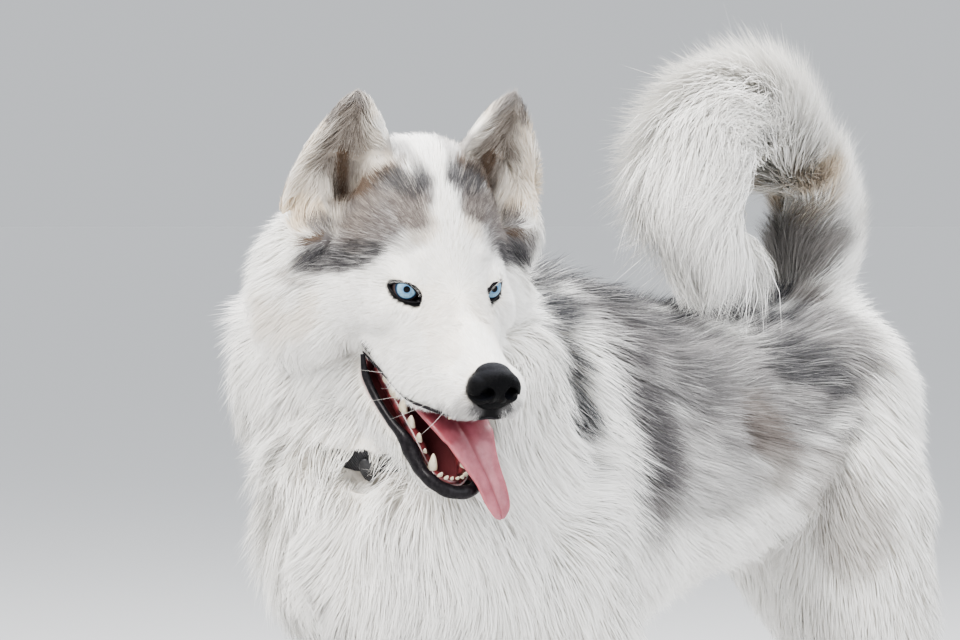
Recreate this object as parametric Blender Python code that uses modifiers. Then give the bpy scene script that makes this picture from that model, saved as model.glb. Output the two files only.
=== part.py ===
"""Siberian husky, standing square on four paws with its head turned to its left, life size.

Metres. X is the dog's left, -Y the way its chest faces, Z up, and the floor is Z = 0.
Every solid reaches out to the tips of the coat. The dog is grown together from named masses
and parted by thin flat cuts where a person would name its parts.
"""

import math

import bmesh
import bpy
from mathutils import Matrix, Vector

CM = 0.01
GAP = 0.0003            # clearance between neighbouring pieces
BELOW_FLOOR = -0.05     # how deep the cutters reach

# ---- Trunk: one row is (rear, top, bottom, half width), the outline of the coat ----
TRUNK_ROWS = (
    (-0.305, 0.480, 0.370, 0.060),    # breast
    (-0.270, 0.560, 0.325, 0.116),
    (-0.215, 0.610, 0.295, 0.150),    # points of the shoulders
    (-0.145, 0.638, 0.288, 0.154),    # withers
    (-0.080, 0.636, 0.300, 0.151),
    (-0.020, 0.618, 0.322, 0.137),
    (0.050, 0.600, 0.348, 0.130),     # ribs
    (0.120, 0.595, 0.368, 0.124),     # loin
    (0.190, 0.596, 0.384, 0.124),
    (0.255, 0.604, 0.388, 0.128),     # croup
    (0.315, 0.600, 0.392, 0.116),
    (0.355, 0.572, 0.396, 0.088),
    (0.380, 0.515, 0.415, 0.048),     # buttocks
)
TRUNK_SQUARENESS = 2.3
TRUNK_NARROWING = 0.12

# ---- Neck and mane: (left, rear, up), (half width, half depth, half height) ----
NECK_MASSES = (
    ((0.000, -0.180, 0.500), (0.154, 0.115, 0.125)),
    ((0.000, -0.215, 0.480), (0.130, 0.098, 0.120)),
    ((-0.012, -0.208, 0.545), (0.164, 0.100, 0.108)),
    ((0.014, -0.225, 0.595), (0.112, 0.088, 0.088)),
)
NECK_BASE = ((0.0, -0.200, 0.480), (0.10, -0.50, 0.86))       # a point of the cut, and its upper side
NECK_TOP = ((0.093, -0.247, 0.513), (0.45, -0.45, 0.77))

# ---- Collar: a leather band that lies deep in the mane ----
COLLAR_AT = (0.008, -0.200, 0.532)
COLLAR_UP = (0.15, -0.50, 0.85)
COLLAR_RADII = (0.080, 0.090)
COLLAR_WIDTH = 0.020
COLLAR_THICK = 0.0035
COLLAR_SIDES = 32
TAG_TURN = math.radians(-92)     # where the tag hangs, round the band from the dog's left
TAG_WIDTH = 0.013
TAG_HEIGHT = 0.021
TAG_SIDES = 14
TAG_EDGE = 0.0006                # how far the rim of the tag is worn round
TAG_DROP = 0.006                 # how far its middle hangs below the band's
TAG_THICK = 0.003
TAG_NOTCH = (0.12, 0.019, 0.028)  # depth, width and height of the parting in the mane before it

# ---- Head: its own frame has its origin between the eyes, in centimetres ----
HEAD_AT = Vector((0.125, -0.292, 0.612))
HEAD_TURN = math.radians(67.5)     # from straight ahead, to the dog's left
HEAD_NOD = math.radians(23.5)      # nose down

# one row is (forward, top, bottom, half width, narrowing of the top), in centimetres
SKULL_ROWS = (
    (9.6, -2.9, -4.9, 1.5, 0.10),     # front of the muzzle
    (9.0, -2.2, -5.5, 2.3, 0.20),
    (7.7, -1.6, -6.0, 2.8, 0.30),
    (5.4, -0.9, -6.4, 3.2, 0.36),     # bridge
    (3.0, -0.2, -6.7, 3.8, 0.40),
    (1.5, 0.8, -6.5, 4.4, 0.38),      # stop
    (0.0, 2.4, -6.1, 5.1, 0.34),
    (-2.0, 4.7, -5.8, 6.0, 0.28),     # brow
    (-4.5, 6.9, -6.6, 7.2, 0.24),
    (-7.5, 8.4, -7.6, 8.0, 0.24),     # top of the skull
    (-11.0, 7.9, -7.8, 8.0, 0.22),
    (-14.0, 5.4, -6.4, 6.4, 0.20),    # occiput
)
CHEEK_MASSES = (
    ((4.2, -2.2, -2.3), (1.9, 2.8, 2.3)),      # cheekbone
    ((6.4, -7.0, -4.2), (3.0, 4.2, 4.6)),      # jaw muscle and cheek fur
    ((7.2, -10.0, -4.4), (4.2, 5.0, 6.6)),     # side of the mane
    ((7.4, -9.0, 0.2), (2.4, 3.2, 3.6)),       # tuft under the ear
)
LEFT_MANE = ((8.8, -9.2, 1.2), (2.4, 3.2, 3.6))     # the mane that the turned head pushes up
THROAT_MASSES = (
    ((0.0, -6.5, -8.4), (5.4, 4.6, 4.0)),
    ((0.0, -10.5, -9.0), (7.0, 6.0, 6.5)),
)
EYE_HOLLOW = ((4.0, 1.25, 0.0), (1.35, 1.3, 1.0))

# ---- Lower jaw: rows as for the skull, with the mouth closed; then it opens about its hinge ----
JAW_ROWS = (
    (9.1, -6.4, -7.3, 1.2, -0.10),
    (8.4, -6.2, -8.1, 1.9, -0.10),
    (7.0, -6.0, -8.7, 2.3, -0.05),
    (5.5, -5.4, -9.0, 2.7, 0.0),
    (3.8, -5.3, -9.3, 3.3, 0.0),
    (2.0, -5.3, -9.5, 3.9, 0.0),
    (0.4, -4.9, -9.8, 4.5, 0.0),      # corner of the mouth
    (-2.0, -3.8, -10.0, 5.0, 0.0),
    (-5.0, -3.2, -10.0, 5.4, 0.0),
)
JAW_HINGE = (-6.5, -3.5)         # forward, up
GAPE = math.radians(25)
MOUTH_CUT = (-1.7, -5.8)         # forward, up: where the cut between head and jaw starts
JAW_REACH = (6.2, -2.4, 15.0, 6.2)    # half width, rear, front and depth of the cut, from there

# inside of the mouth, (forward, top, bottom, half width, narrowing)
PALATE_ROWS = (
    (8.3, -4.9, -8.0, 1.4, 0.3),
    (6.3, -4.7, -9.0, 1.9, 0.3),
    (2.0, -4.5, -9.0, 2.5, 0.3),
    (-2.0, -5.0, -8.0, 2.6, 0.3),
    (-5.5, -6.4, -7.8, 1.5, 0.3),
)
MOUTH_FLOOR_ROWS = (
    (7.6, -3.0, -7.2, 1.1, -0.6),
    (6.2, -2.6, -7.6, 1.5, -0.6),
    (2.5, -3.0, -7.8, 2.2, -0.5),
    (-2.0, -3.2, -7.6, 2.6, -0.3),
    (-5.0, -4.2, -6.4, 1.6, 0.0),
)

# ---- Teeth: (side, forward, up) of the root, length, radius, and the lean forward of the tip ----
UPPER_CANINE = ((1.70, 7.4, -4.9), 1.4, 0.34, 0.10)
LOWER_CANINE = ((1.45, 7.7, -6.5), 1.9, 0.34, 0.10)
UPPER_INCISORS = (8.5, -5.0, 0.75, 0.20, 1.15)      # forward, up, length, radius, half spread
LOWER_INCISORS = (8.5, -6.5, 0.80, 0.18, 0.95)
UPPER_CHEEK_TEETH = ((5.6, 0.35), (4.2, 0.40), (2.7, 0.55), (1.1, 0.75), (-0.5, 0.40))
LOWER_CHEEK_TEETH = ((6.0, 0.50), (4.8, 0.60), (3.5, 0.65), (2.1, 0.70), (0.4, 1.00), (-1.4, 0.50))
INCISOR_LEAN = 0.25              # forward for each unit up
INCISOR_ARCH = 0.25              # how far back the row bends, for each square centimetre aside
CANINE_SPLAY = 0.10
CHEEK_TOOTH_RADIUS = 0.42
CHEEK_TEETH_ASIDE = 0.60         # their place, of the jaw's half width
ROW_RISE = 0.12                  # the lower row of cheek teeth rises toward the back
INCISOR_SUNK = 0.25              # how deep each root sits in the gum
CANINE_SUNK = 0.30
CHEEK_TOOTH_SUNK = 0.35

# ---- Eyes, nose, ears and tongue, in the head's frame, centimetres ----
EYE_AT = (3.15, -0.75, -0.05)
EYE_RADIUS = 1.12
NOSE_AT = (0.0, 9.20, -3.20)
NOSE_SIZE = (1.95, 1.15, 1.42)
NOSTRIL_AT = (0.85, 10.15, -3.3)
NOSTRIL_SIZE = (0.34, 0.55, 0.42)

EAR_TIP = (6.4, -7.9, 11.9)
EAR_INNER = (2.5, -7.6, 6.0)
EAR_OUTER = (9.9, -9.0, 1.8)
EAR_CUP = 2.0                    # depth of the ear's hollow, at its foot
EAR_THICK = 0.6
EAR_LEAN = 0.35                  # how far the hollow looks outward
EAR_BOW = (0.3, 1.1)             # how far its inner and outer edges bow out
EAR_SWELL = 1.1                  # a higher value sets the widest bow lower
EAR_TAPER = 0.82                 # how the hollow narrows toward the tip
EAR_ROWS = 9
EAR_COLUMNS = 10

TONGUE_ROWS = (                  # (left, forward, up), half width, thickness
    ((0.0, -3.6, -7.9), 1.7, 1.2),
    ((0.0, -0.8, -8.6), 2.0, 1.3),
    ((0.2, 2.2, -8.9), 1.9, 1.1),
    ((0.7, 4.6, -9.0), 1.8, 0.9),
    ((1.4, 6.3, -10.1), 1.7, 0.7),
    ((2.1, 7.2, -11.6), 1.50, 0.6),
    ((2.7, 7.9, -12.9), 1.35, 0.5),
    ((3.1, 8.4, -14.0), 1.05, 0.4),
    ((3.2, 8.5, -14.5), 0.50, 0.25),
)
TONGUE_ACROSS = (1.0, -0.25, 0.0)    # the way from its right edge to its left
TONGUE_SQUARENESS = 2.6
TONGUE_SIDES = 10
TONGUE_HOLLOW = 0.12             # how far its middle is sunk, in centimetres

# ---- Legs: (left, rear, up), radius ----
FORE_LEG = (
    ((0.086, -0.150, 0.400), 0.066),      # shoulder
    ((0.090, -0.105, 0.310), 0.054),      # elbow
    ((0.086, -0.105, 0.230), 0.040),
    ((0.082, -0.112, 0.140), 0.031),      # wrist
    ((0.082, -0.124, 0.075), 0.028),
    ((0.082, -0.142, 0.038), 0.031),      # paw
)
HIND_LEG = (
    ((0.062, 0.245, 0.500), 0.066),       # hip
    ((0.072, 0.250, 0.425), 0.079),       # thigh
    ((0.084, 0.256, 0.355), 0.070),
    ((0.092, 0.268, 0.295), 0.055),       # stifle
    ((0.092, 0.302, 0.220), 0.041),
    ((0.090, 0.345, 0.160), 0.031),       # hock
    ((0.089, 0.340, 0.090), 0.027),
    ((0.088, 0.322, 0.038), 0.030),       # paw
)
HIND_LEG_BACK = (                             # the one that is set further back
    ((0.062, 0.250, 0.500), 0.066),
    ((0.062, 0.306, 0.425), 0.072),
    ((0.058, 0.350, 0.365), 0.062),
    ((0.056, 0.390, 0.305), 0.050),
    ((0.062, 0.440, 0.225), 0.039),
    ((0.068, 0.486, 0.160), 0.031),
    ((0.070, 0.486, 0.090), 0.027),
    ((0.072, 0.470, 0.038), 0.030),
)
LEGS = {                                      # stations, and the side: 1 is the left
    "front_left": (FORE_LEG, 1),
    "front_right": (FORE_LEG, -1),
    "hind_left": (HIND_LEG, 1),
    "hind_right": (HIND_LEG_BACK, -1),
}
LEG_CUTS = {                              # (left, up) on the cut, its slope, its front and its rear
    "front_left": ((0.095, 0.300), math.radians(42), (-0.270, -0.020)),
    "front_right": ((0.095, 0.300), math.radians(42), (-0.270, -0.020)),
    "hind_left": ((0.085, 0.400), math.radians(48), (0.110, 0.440)),
    "hind_right": ((0.085, 0.390), math.radians(48), (0.150, 0.560)),
}
LEG_INNER = 0.012                # the cut starts this far from the middle of the body
LEG_OUTER = 0.30
PAW_LENGTH = 0.098
PAW_WIDTH = 0.068
PAW_HEIGHT = 0.044
SOLE_AT = (0.08, 0.50)           # behind the last station and up, in paw sizes
SOLE_SIZE = (0.46, 0.40, 0.60)   # half width, half length, half height, in paw sizes
TOES = ((-0.36, 0.24), (-0.13, 0.36), (0.13, 0.36), (0.36, 0.24))    # across, ahead, in paw sizes
TOE_UP = 0.44
TOE_SIZE = (0.16, 0.20, 0.52)
CLAW_LENGTH = 0.017
CLAW_RADIUS = 0.0036
CLAW_UP = 0.015
CLAW_AHEAD = 0.14                # before the middle of its toe, in paw lengths
CLAW_WAY = (0.3, -1.0, -0.45)    # outward for each paw width, ahead, up
BLUNTNESS = 0.25                 # radius of a tooth's or claw's tip, of that of its root

# ---- Tail: (left, rear, up), radius of the brush ----
TAIL = (
    ((0.000, 0.270, 0.530), 0.040),
    ((0.000, 0.303, 0.620), 0.044),
    ((0.000, 0.300, 0.680), 0.048),
    ((0.004, 0.246, 0.728), 0.057),
    ((0.012, 0.195, 0.742), 0.068),
    ((0.025, 0.140, 0.730), 0.072),
    ((0.038, 0.100, 0.692), 0.072),
    ((0.048, 0.096, 0.655), 0.062),
    ((0.056, 0.125, 0.632), 0.040),
    ((0.062, 0.165, 0.618), 0.018),
)

TAIL_FOOT = 0.56                 # the brush below this height lies inside the croup

# ---- Fineness: the grain in which the masses grow together, and the triangles kept ----
HEAD_VOXEL = 0.0026
EAR_VOXEL = 0.0016
MERGE = 0.0001
BODY_VOXEL = 0.0070
HEAD_TRIANGLES = 1850
BODY_TRIANGLES = 2350
TAIL_TRIANGLES = 450
EAR_TRIANGLES = 210


# ---------------------------------------------------------------- scene, frames, materials
def clear_scene():
    for item in list(bpy.data.objects):
        bpy.data.objects.remove(item, do_unlink=True)


def new_collection(name):
    made = bpy.data.collections.new(name)
    bpy.context.scene.collection.children.link(made)
    return made


def head_frame():
    """Matrix from the head's frame (left, forward, up, in centimetres) to the dog's."""
    forward = Vector((
        math.sin(HEAD_TURN) * math.cos(HEAD_NOD),
        -math.cos(HEAD_TURN) * math.cos(HEAD_NOD),
        -math.sin(HEAD_NOD),
    ))
    up = Vector((
        math.sin(HEAD_TURN) * math.sin(HEAD_NOD),
        -math.cos(HEAD_TURN) * math.sin(HEAD_NOD),
        math.cos(HEAD_NOD),
    ))
    turn = Matrix((up.cross(forward), forward, up)).transposed().to_4x4()
    return Matrix.Translation(HEAD_AT) @ turn @ Matrix.Scale(CM, 4)


def opened(frame, angle):
    """The head's frame turned open about the hinge of the jaw."""
    hinge = Matrix.Translation((0, *JAW_HINGE))
    return frame @ hinge @ Matrix.Rotation(-angle, 4, "X") @ hinge.inverted()


clear_scene()
PARTS = new_collection("husky")
CUTTERS = new_collection("cutters")
HEAD = head_frame()
JAW = opened(HEAD, GAPE)
WORLD = Matrix.Identity(4)


def material(name, colour, roughness):
    made = bpy.data.materials.new(name)
    made.use_nodes = True
    shader = made.node_tree.nodes["Principled BSDF"]
    shader.inputs["Base Color"].default_value = (*colour, 1)
    shader.inputs["Roughness"].default_value = roughness
    shader.inputs["Metallic"].default_value = 0
    return made


# ---------------------------------------------------------------- meshes
def mesh_from(bm, name="shape"):
    """A mesh whose faces point out; the head's frame is a mirrored one, so they may not yet."""
    bmesh.ops.recalc_face_normals(bm, faces=bm.faces)
    mesh = bpy.data.meshes.new(name)
    bm.to_mesh(mesh)
    bm.free()
    return mesh


def ball(centre, radii, frame=WORLD, rings=16):
    """An ellipsoid in a frame."""
    bm = bmesh.new()
    place = frame @ Matrix.Translation(centre) @ Matrix.Diagonal((*radii, 1))
    bmesh.ops.create_uvsphere(bm, u_segments=2 * rings, v_segments=rings, radius=1, matrix=place)
    return mesh_from(bm)


def block(centre, size, turn=WORLD):
    """A box whose own axes are turned."""
    bm = bmesh.new()
    place = Matrix.Translation(centre) @ turn @ Matrix.Diagonal((*size, 1))
    bmesh.ops.create_cube(bm, size=1, matrix=place)
    return mesh_from(bm)


def loft(rings):
    """A closed body through rows of points, each row a ring."""
    bm = bmesh.new()
    rows = [[bm.verts.new(point) for point in ring] for ring in rings]
    count = len(rows[0])
    for near, far in zip(rows, rows[1:]):
        for i in range(count):
            j = (i + 1) % count
            bm.faces.new((near[i], near[j], far[j], far[i]))
    bm.faces.new(rows[0])
    bm.faces.new(rows[-1])
    return mesh_from(bm)


def smooth_rows(rows, steps=4):
    """Rows of numbers, with a smooth curve of so many steps drawn through each pair."""
    ends = [rows[0], *rows, rows[-1]]
    out = []
    for before, here, there, after in zip(ends, ends[1:], ends[2:], ends[3:]):
        for k in range(steps):
            t = k / steps
            out.append(tuple(
                0.5 * (2 * q + (r - p) * t + (2 * p - 5 * q + 4 * r - s) * t ** 2
                       + (3 * q - p - 3 * r + s) * t ** 3)
                for p, q, r, s in zip(before, here, there, after)
            ))
    out.append(tuple(rows[-1]))
    return out


def oval(half_width, top, bottom, squareness=2.0, narrowing=0.0, sides=36):
    """(across, up) points of an oval whose top is narrower than its bottom by the narrowing."""
    middle = (top + bottom) / 2
    half_height = (top - bottom) / 2
    points = []
    for i in range(sides):
        angle = 2 * math.pi * i / sides
        across = math.copysign(abs(math.cos(angle)) ** (2 / squareness), math.cos(angle))
        up = math.copysign(abs(math.sin(angle)) ** (2 / squareness), math.sin(angle))
        taper = 1 - narrowing * (up + 1) / 2
        points.append((across * half_width * taper, middle + up * half_height))
    return points


def rowed_body(rows, frame, squareness=2.2):
    """A loft through (forward, top, bottom, half width, narrowing) rows of the head."""
    rings = []
    for forward, top, bottom, half_width, narrowing in smooth_rows(rows):
        section = oval(half_width, top, bottom, squareness, narrowing)
        rings.append([frame @ Vector((across, forward, up)) for across, up in section])
    return loft(rings)


def as_seen(item):
    """A new mesh of the object with its modifiers in it."""
    bpy.context.view_layer.update()
    return bpy.data.meshes.new_from_object(item.evaluated_get(bpy.context.evaluated_depsgraph_get()))


def limb(stations, side=1, steps=4):
    """A round body along a path of ((left, rear, up), radius) stations."""
    rows = [(side * point[0], point[1], point[2], radius) for point, radius in stations]
    path = smooth_rows(rows, steps)
    curve = bpy.data.curves.new("limb", "CURVE")
    curve.dimensions = "3D"
    curve.bevel_depth = 1.0
    curve.bevel_resolution = 6
    curve.use_fill_caps = True
    spline = curve.splines.new("POLY")
    spline.points.add(len(path) - 1)
    for point, (x, y, z, radius) in zip(spline.points, path):
        point.co = (x, y, z, 1)
        point.radius = radius
    holder = bpy.data.objects.new("limb", curve)
    CUTTERS.objects.link(holder)
    tube = as_seen(holder)
    bpy.data.objects.remove(holder, do_unlink=True)
    bm = bmesh.new()
    bm.from_mesh(tube)
    bmesh.ops.remove_doubles(bm, verts=bm.verts, dist=1e-5)
    return mesh_from(bm)


def joined(meshes):
    bm = bmesh.new()
    for mesh in meshes:
        bm.from_mesh(mesh)
    return mesh_from(bm, "joined")


# ---------------------------------------------------------------- growing together and cutting
def changed(mesh, *steps):
    """The mesh after modifiers, each given as (kind, settings), in triangles."""
    item = bpy.data.objects.new("work", mesh)
    CUTTERS.objects.link(item)
    for kind, settings in steps:
        step = item.modifiers.new(kind.lower(), kind)
        for key, value in settings.items():
            setattr(step, key, value)
    bm = bmesh.new()
    bm.from_mesh(as_seen(item))
    bmesh.ops.triangulate(bm, faces=bm.faces)
    bpy.data.objects.remove(item, do_unlink=True)
    return mesh_from(bm)


def cut(mesh, *cutters, operation="DIFFERENCE"):
    """The mesh after each cutter in turn."""
    tools = []
    for cutter in cutters:
        tool = bpy.data.objects.new("cutter", cutter)
        CUTTERS.objects.link(tool)
        tool.display_type = "WIRE"
        tool.hide_render = True
        tools.append(tool)
    made = changed(mesh, *[("BOOLEAN", {"operation": operation, "object": tool}) for tool in tools])
    for tool in tools:
        bpy.data.objects.remove(tool, do_unlink=True)
    return made


def fused(meshes, voxel, rounds, triangles, hollows=()):
    """Masses grown together into one smooth skin of about this many triangles."""
    skin = changed(joined(meshes), ("REMESH", {"mode": "VOXEL", "voxel_size": voxel}))
    if hollows:
        skin = cut(skin, *hollows)
    skin = changed(
        skin,
        ("REMESH", {"mode": "VOXEL", "voxel_size": voxel}),
        ("SMOOTH", {"factor": 0.5, "iterations": rounds}),
    )
    return changed(skin, ("DECIMATE", {"ratio": min(1.0, triangles / len(skin.polygons))}))


def grown(mesh, by=GAP):
    """The mesh swollen by a clearance, as the cutter for a neighbour."""
    return changed(mesh.copy(), ("DISPLACE", {"strength": by, "mid_level": 0.0}))


def main_body(mesh):
    """The largest of the pieces that a cut leaves."""
    bm = bmesh.new()
    bm.from_mesh(mesh)
    left = set(bm.verts)
    bodies = []
    while left:
        reached = {left.pop()}
        edge_of = list(reached)
        while edge_of:
            vert = edge_of.pop()
            for edge in vert.link_edges:
                other = edge.other_vert(vert)
                if other not in reached:
                    reached.add(other)
                    edge_of.append(other)
        left -= reached
        bodies.append(reached)
    bodies.sort(key=len)
    for body in bodies[:-1]:
        print("left out a piece of", len(body), "corners near",
              [round(c, 3) for c in next(iter(body)).co])
        bmesh.ops.delete(bm, geom=list(body), context="VERTS")
    return mesh_from(bm)


def half_space(point, way, reach=1.6):
    """A large box on the side of a plane that the way points to."""
    way = Vector(way).normalized()
    turn = way.to_track_quat("Z", "Y").to_matrix().to_4x4()
    return block(Vector(point) + way * reach / 2, (reach, reach, reach), turn)


def parted(mesh, point, way):
    """The two sides of a plane, a gap apart: the side that the way points to, and the rest."""
    way = Vector(way).normalized()
    point = Vector(point)
    beyond = cut(mesh.copy(), half_space(point + way * GAP / 2, -way))
    rest = cut(mesh, half_space(point - way * GAP / 2, way))
    return beyond, rest


def show(name, mesh, finish):
    item = bpy.data.objects.new(name, mesh)
    PARTS.objects.link(item)
    mesh.name = name
    mesh.materials.clear()
    mesh.materials.append(finish)
    mesh.shade_smooth()
    mesh.set_sharp_from_angle(angle=math.radians(50))
    return item


# ---------------------------------------------------------------- masses of flesh and coat
def trunk_mass():
    rings = []
    for rear, top, bottom, half_width in smooth_rows(TRUNK_ROWS):
        section = oval(half_width, top, bottom, TRUNK_SQUARENESS, TRUNK_NARROWING)
        rings.append([(across, rear, up) for across, up in section])
    return loft(rings)


def mirrored(masses, frame):
    made = []
    for side in (1, -1):
        for (left, forward, up), radii in masses:
            made.append(ball((side * left, forward, up), radii, frame))
    return made


def neck_masses():
    return [ball(centre, radii) for centre, radii in NECK_MASSES]


def head_masses():
    throat = [ball(centre, radii, HEAD) for centre, radii in THROAT_MASSES]
    return [
        rowed_body(SKULL_ROWS, HEAD),
        rowed_body(JAW_ROWS, JAW),
        *mirrored(CHEEK_MASSES, HEAD),
        ball(*LEFT_MANE, HEAD),
        *throat,
    ]


def paw_masses(stations, side):
    (left, rear, _), _ = stations[-1]
    sizes = (PAW_WIDTH, PAW_LENGTH, PAW_HEIGHT)
    sole = (side * left, rear - SOLE_AT[0] * PAW_LENGTH, SOLE_AT[1] * PAW_HEIGHT)
    made = [ball(sole, [share * size for share, size in zip(SOLE_SIZE, sizes)])]
    for across, ahead in TOES:
        toe = (side * left + across * PAW_WIDTH, rear - ahead * PAW_LENGTH, PAW_HEIGHT * TOE_UP)
        made.append(ball(toe, [share * size for share, size in zip(TOE_SIZE, sizes)]))
    return made


def leg_masses():
    made = []
    for stations, side in LEGS.values():
        made.append(limb(stations, side))
        made.extend(paw_masses(stations, side))
    return made


# ---------------------------------------------------------------- small pieces
def spike(root, way, length, radius, frame=WORLD, sides=6):
    """A blunt cone from its root along a direction: a tooth or a claw."""
    bm = bmesh.new()
    turn = Vector(way).normalized().to_track_quat("Z", "Y").to_matrix().to_4x4()
    place = frame @ Matrix.Translation(root) @ turn @ Matrix.Translation((0, 0, length / 2))
    bmesh.ops.create_cone(
        bm, cap_ends=True, segments=sides, radius1=radius, radius2=radius * BLUNTNESS,
        depth=length, matrix=place,
    )
    return mesh_from(bm)


def claws(stations, side):
    """The four claws of a paw, each from the front of its toe."""
    (left, rear, _), _ = stations[-1]
    made = []
    for across, ahead in TOES:
        root = (side * left + across * PAW_WIDTH, rear - (ahead + CLAW_AHEAD) * PAW_LENGTH, CLAW_UP)
        way = (across * CLAW_WAY[0], CLAW_WAY[1], CLAW_WAY[2])
        made.append(spike(root, way, CLAW_LENGTH, CLAW_RADIUS))
    return made


def jaw_width(rows, forward):
    """Half width of the jaw at a distance forward."""
    for (y0, _, _, w0, _), (y1, _, _, w1, _) in zip(rows, rows[1:]):
        if y1 <= forward <= y0:
            return w0 + (w1 - w0) * (y0 - forward) / (y0 - y1)
    return rows[-1][3]


def tooth_row(rows, cheek_teeth, incisors, canine, frame, down):
    """The teeth of one jaw, on both sides, sunk into their gums."""
    made = []
    forward, up, length, radius, spread = incisors
    for place in (-1.0, -0.6, -0.2, 0.2, 0.6, 1.0):
        across = spread * place
        root = (across, forward - INCISOR_ARCH * across ** 2, up + INCISOR_SUNK * down)
        made.append(spike(root, (0, INCISOR_LEAN, -down), length + INCISOR_SUNK, radius, frame, 5))
    for side in (1, -1):
        (left, ahead, height), long, thick, lean = canine
        root = (side * left, ahead, height + CANINE_SUNK * down)
        made.append(spike(root, (CANINE_SPLAY * side, lean, -down), long, thick, frame, 7))
        for ahead, long in cheek_teeth:
            left = jaw_width(rows, ahead) * CHEEK_TEETH_ASIDE
            rise = ROW_RISE * (rows[2][0] - ahead) * (down < 0)
            root = (side * left, ahead, up + CHEEK_TOOTH_SUNK * down + rise)
            made.append(spike(root, (0, 0, -down), long + CHEEK_TOOTH_SUNK, CHEEK_TOOTH_RADIUS, frame, 5))
    return made


def ear(side):
    """A pricked ear: a triangular sheet, cupped to the front, with a blunt tip."""
    tip, inner, outer = (Vector((side * p[0], p[1], p[2])) for p in (EAR_TIP, EAR_INNER, EAR_OUTER))
    back = Vector((side * -EAR_LEAN, -1, 0.1)).normalized()
    bm = bmesh.new()
    grid = []
    for i in range(EAR_ROWS):
        rise = i / (EAR_ROWS - 1)
        swell = math.sin(math.pi * min(1, rise * EAR_SWELL))
        width = (1 - rise) ** EAR_TAPER
        line = []
        for j in range(EAR_COLUMNS):
            across = 2 * j / (EAR_COLUMNS - 1) - 1
            foot = inner.lerp(outer, 0.5 + 0.5 * across)
            point = foot.lerp(tip, rise)
            bow = EAR_BOW[1] if across > 0 else EAR_BOW[0]
            point += (outer - inner).normalized() * across * swell * bow
            point += back * EAR_CUP * (1 - across ** 2) * width
            line.append(bm.verts.new(HEAD @ point))
        grid.append(line)
    for low, high in zip(grid, grid[1:]):
        for j in range(EAR_COLUMNS - 1):
            bm.faces.new((low[j], low[j + 1], high[j + 1], high[j]))
    bmesh.ops.remove_doubles(bm, verts=bm.verts, dist=MERGE)
    sheet = changed(
        mesh_from(bm),
        ("SOLIDIFY", {"thickness": EAR_THICK * CM, "offset": 0.0}),
        ("REMESH", {"mode": "VOXEL", "voxel_size": EAR_VOXEL}),
        ("SMOOTH", {"factor": 0.5, "iterations": 3}),
    )
    return changed(sheet, ("DECIMATE", {"ratio": min(1.0, EAR_TRIANGLES / len(sheet.polygons))}))


def tongue():
    """A long flat tongue that lies in the mouth and hangs out over the left of the jaw."""
    rows = smooth_rows([(*place, width, thick) for place, width, thick in TONGUE_ROWS], 2)
    rings = []
    for i, (left, forward, up, width, thick) in enumerate(rows):
        here = Vector((left, forward, up))
        near = Vector(rows[max(0, i - 1)][:3])
        far = Vector(rows[min(len(rows) - 1, i + 1)][:3])
        along = (far - near).normalized()
        across = Vector(TONGUE_ACROSS)
        across = (across - along * across.dot(along)).normalized()
        face = across.cross(along)
        ring = []
        for u, v in oval(width, thick / 2, -thick / 2, TONGUE_SQUARENESS, 0.0, TONGUE_SIDES):
            sunk = TONGUE_HOLLOW * (1 - (u / width) ** 2)
            ring.append(HEAD @ (here + across * u + face * (v - sunk)))
        rings.append(ring)
    return changed(loft(rings))


def nose():
    """The nose pad, with its two nostrils."""
    pad = ball(NOSE_AT, NOSE_SIZE, HEAD, 7)
    nostrils = [
        ball((side * NOSTRIL_AT[0], NOSTRIL_AT[1], NOSTRIL_AT[2]), NOSTRIL_SIZE, HEAD, 4)
        for side in (1, -1)
    ]
    return cut(pad, *nostrils)


def collar_frame():
    turn = Vector(COLLAR_UP).normalized().to_track_quat("Z", "Y").to_matrix().to_4x4()
    return Matrix.Translation(COLLAR_AT) @ turn


def ring_band(inner, outer, height, frame, sides=COLLAR_SIDES):
    """A flat oval band: the rows of a square section turned about an axis."""
    rings = []
    for i in range(sides):
        angle = 2 * math.pi * i / sides
        way = Vector((math.cos(angle), math.sin(angle), 0))
        ring = []
        for extra, level in ((inner, -0.5), (outer, -0.5), (outer, 0.5), (inner, 0.5)):
            reach = Vector(((COLLAR_RADII[0] + extra) * way.x, (COLLAR_RADII[1] + extra) * way.y, 0))
            ring.append(frame @ (reach + Vector((0, 0, level * height))))
        rings.append(ring)
    bm = bmesh.new()
    rows = [[bm.verts.new(point) for point in ring] for ring in rings]
    for i in range(sides):
        near, far = rows[i], rows[(i + 1) % sides]
        for j in range(4):
            k = (j + 1) % 4
            bm.faces.new((near[j], near[k], far[k], far[j]))
    return mesh_from(bm)


# ---------------------------------------------------------------- the dog
def jaw_region():
    """The wedge of space, open to the front, that the lower jaw fills."""
    half_width, rear, front, depth = JAW_REACH
    tilt = Matrix.Translation((0, *MOUTH_CUT)) @ Matrix.Rotation(-GAPE / 2, 4, "X")
    centre = Matrix.Translation((0, (rear + front) / 2, -depth / 2))
    size = Matrix.Diagonal((2 * half_width, front - rear, depth, 1))
    bm = bmesh.new()
    bmesh.ops.create_cube(bm, size=1, matrix=HEAD @ tilt @ centre @ size)
    return mesh_from(bm)


def leg_region(leg):
    """The space below a sloping plane, on one side of the dog, that a leg fills."""
    (left, up), slope, (front, rear) = LEG_CUTS[leg]
    side = LEGS[leg][1]
    corners = [
        (LEG_INNER, BELOW_FLOOR),
        (LEG_INNER, up + (LEG_INNER - left) * math.tan(slope)),
        (LEG_OUTER, up + (LEG_OUTER - left) * math.tan(slope)),
        (LEG_OUTER, BELOW_FLOOR),
    ]
    return loft([[(side * x, y, z) for x, z in corners] for y in (front, rear)])


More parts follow.
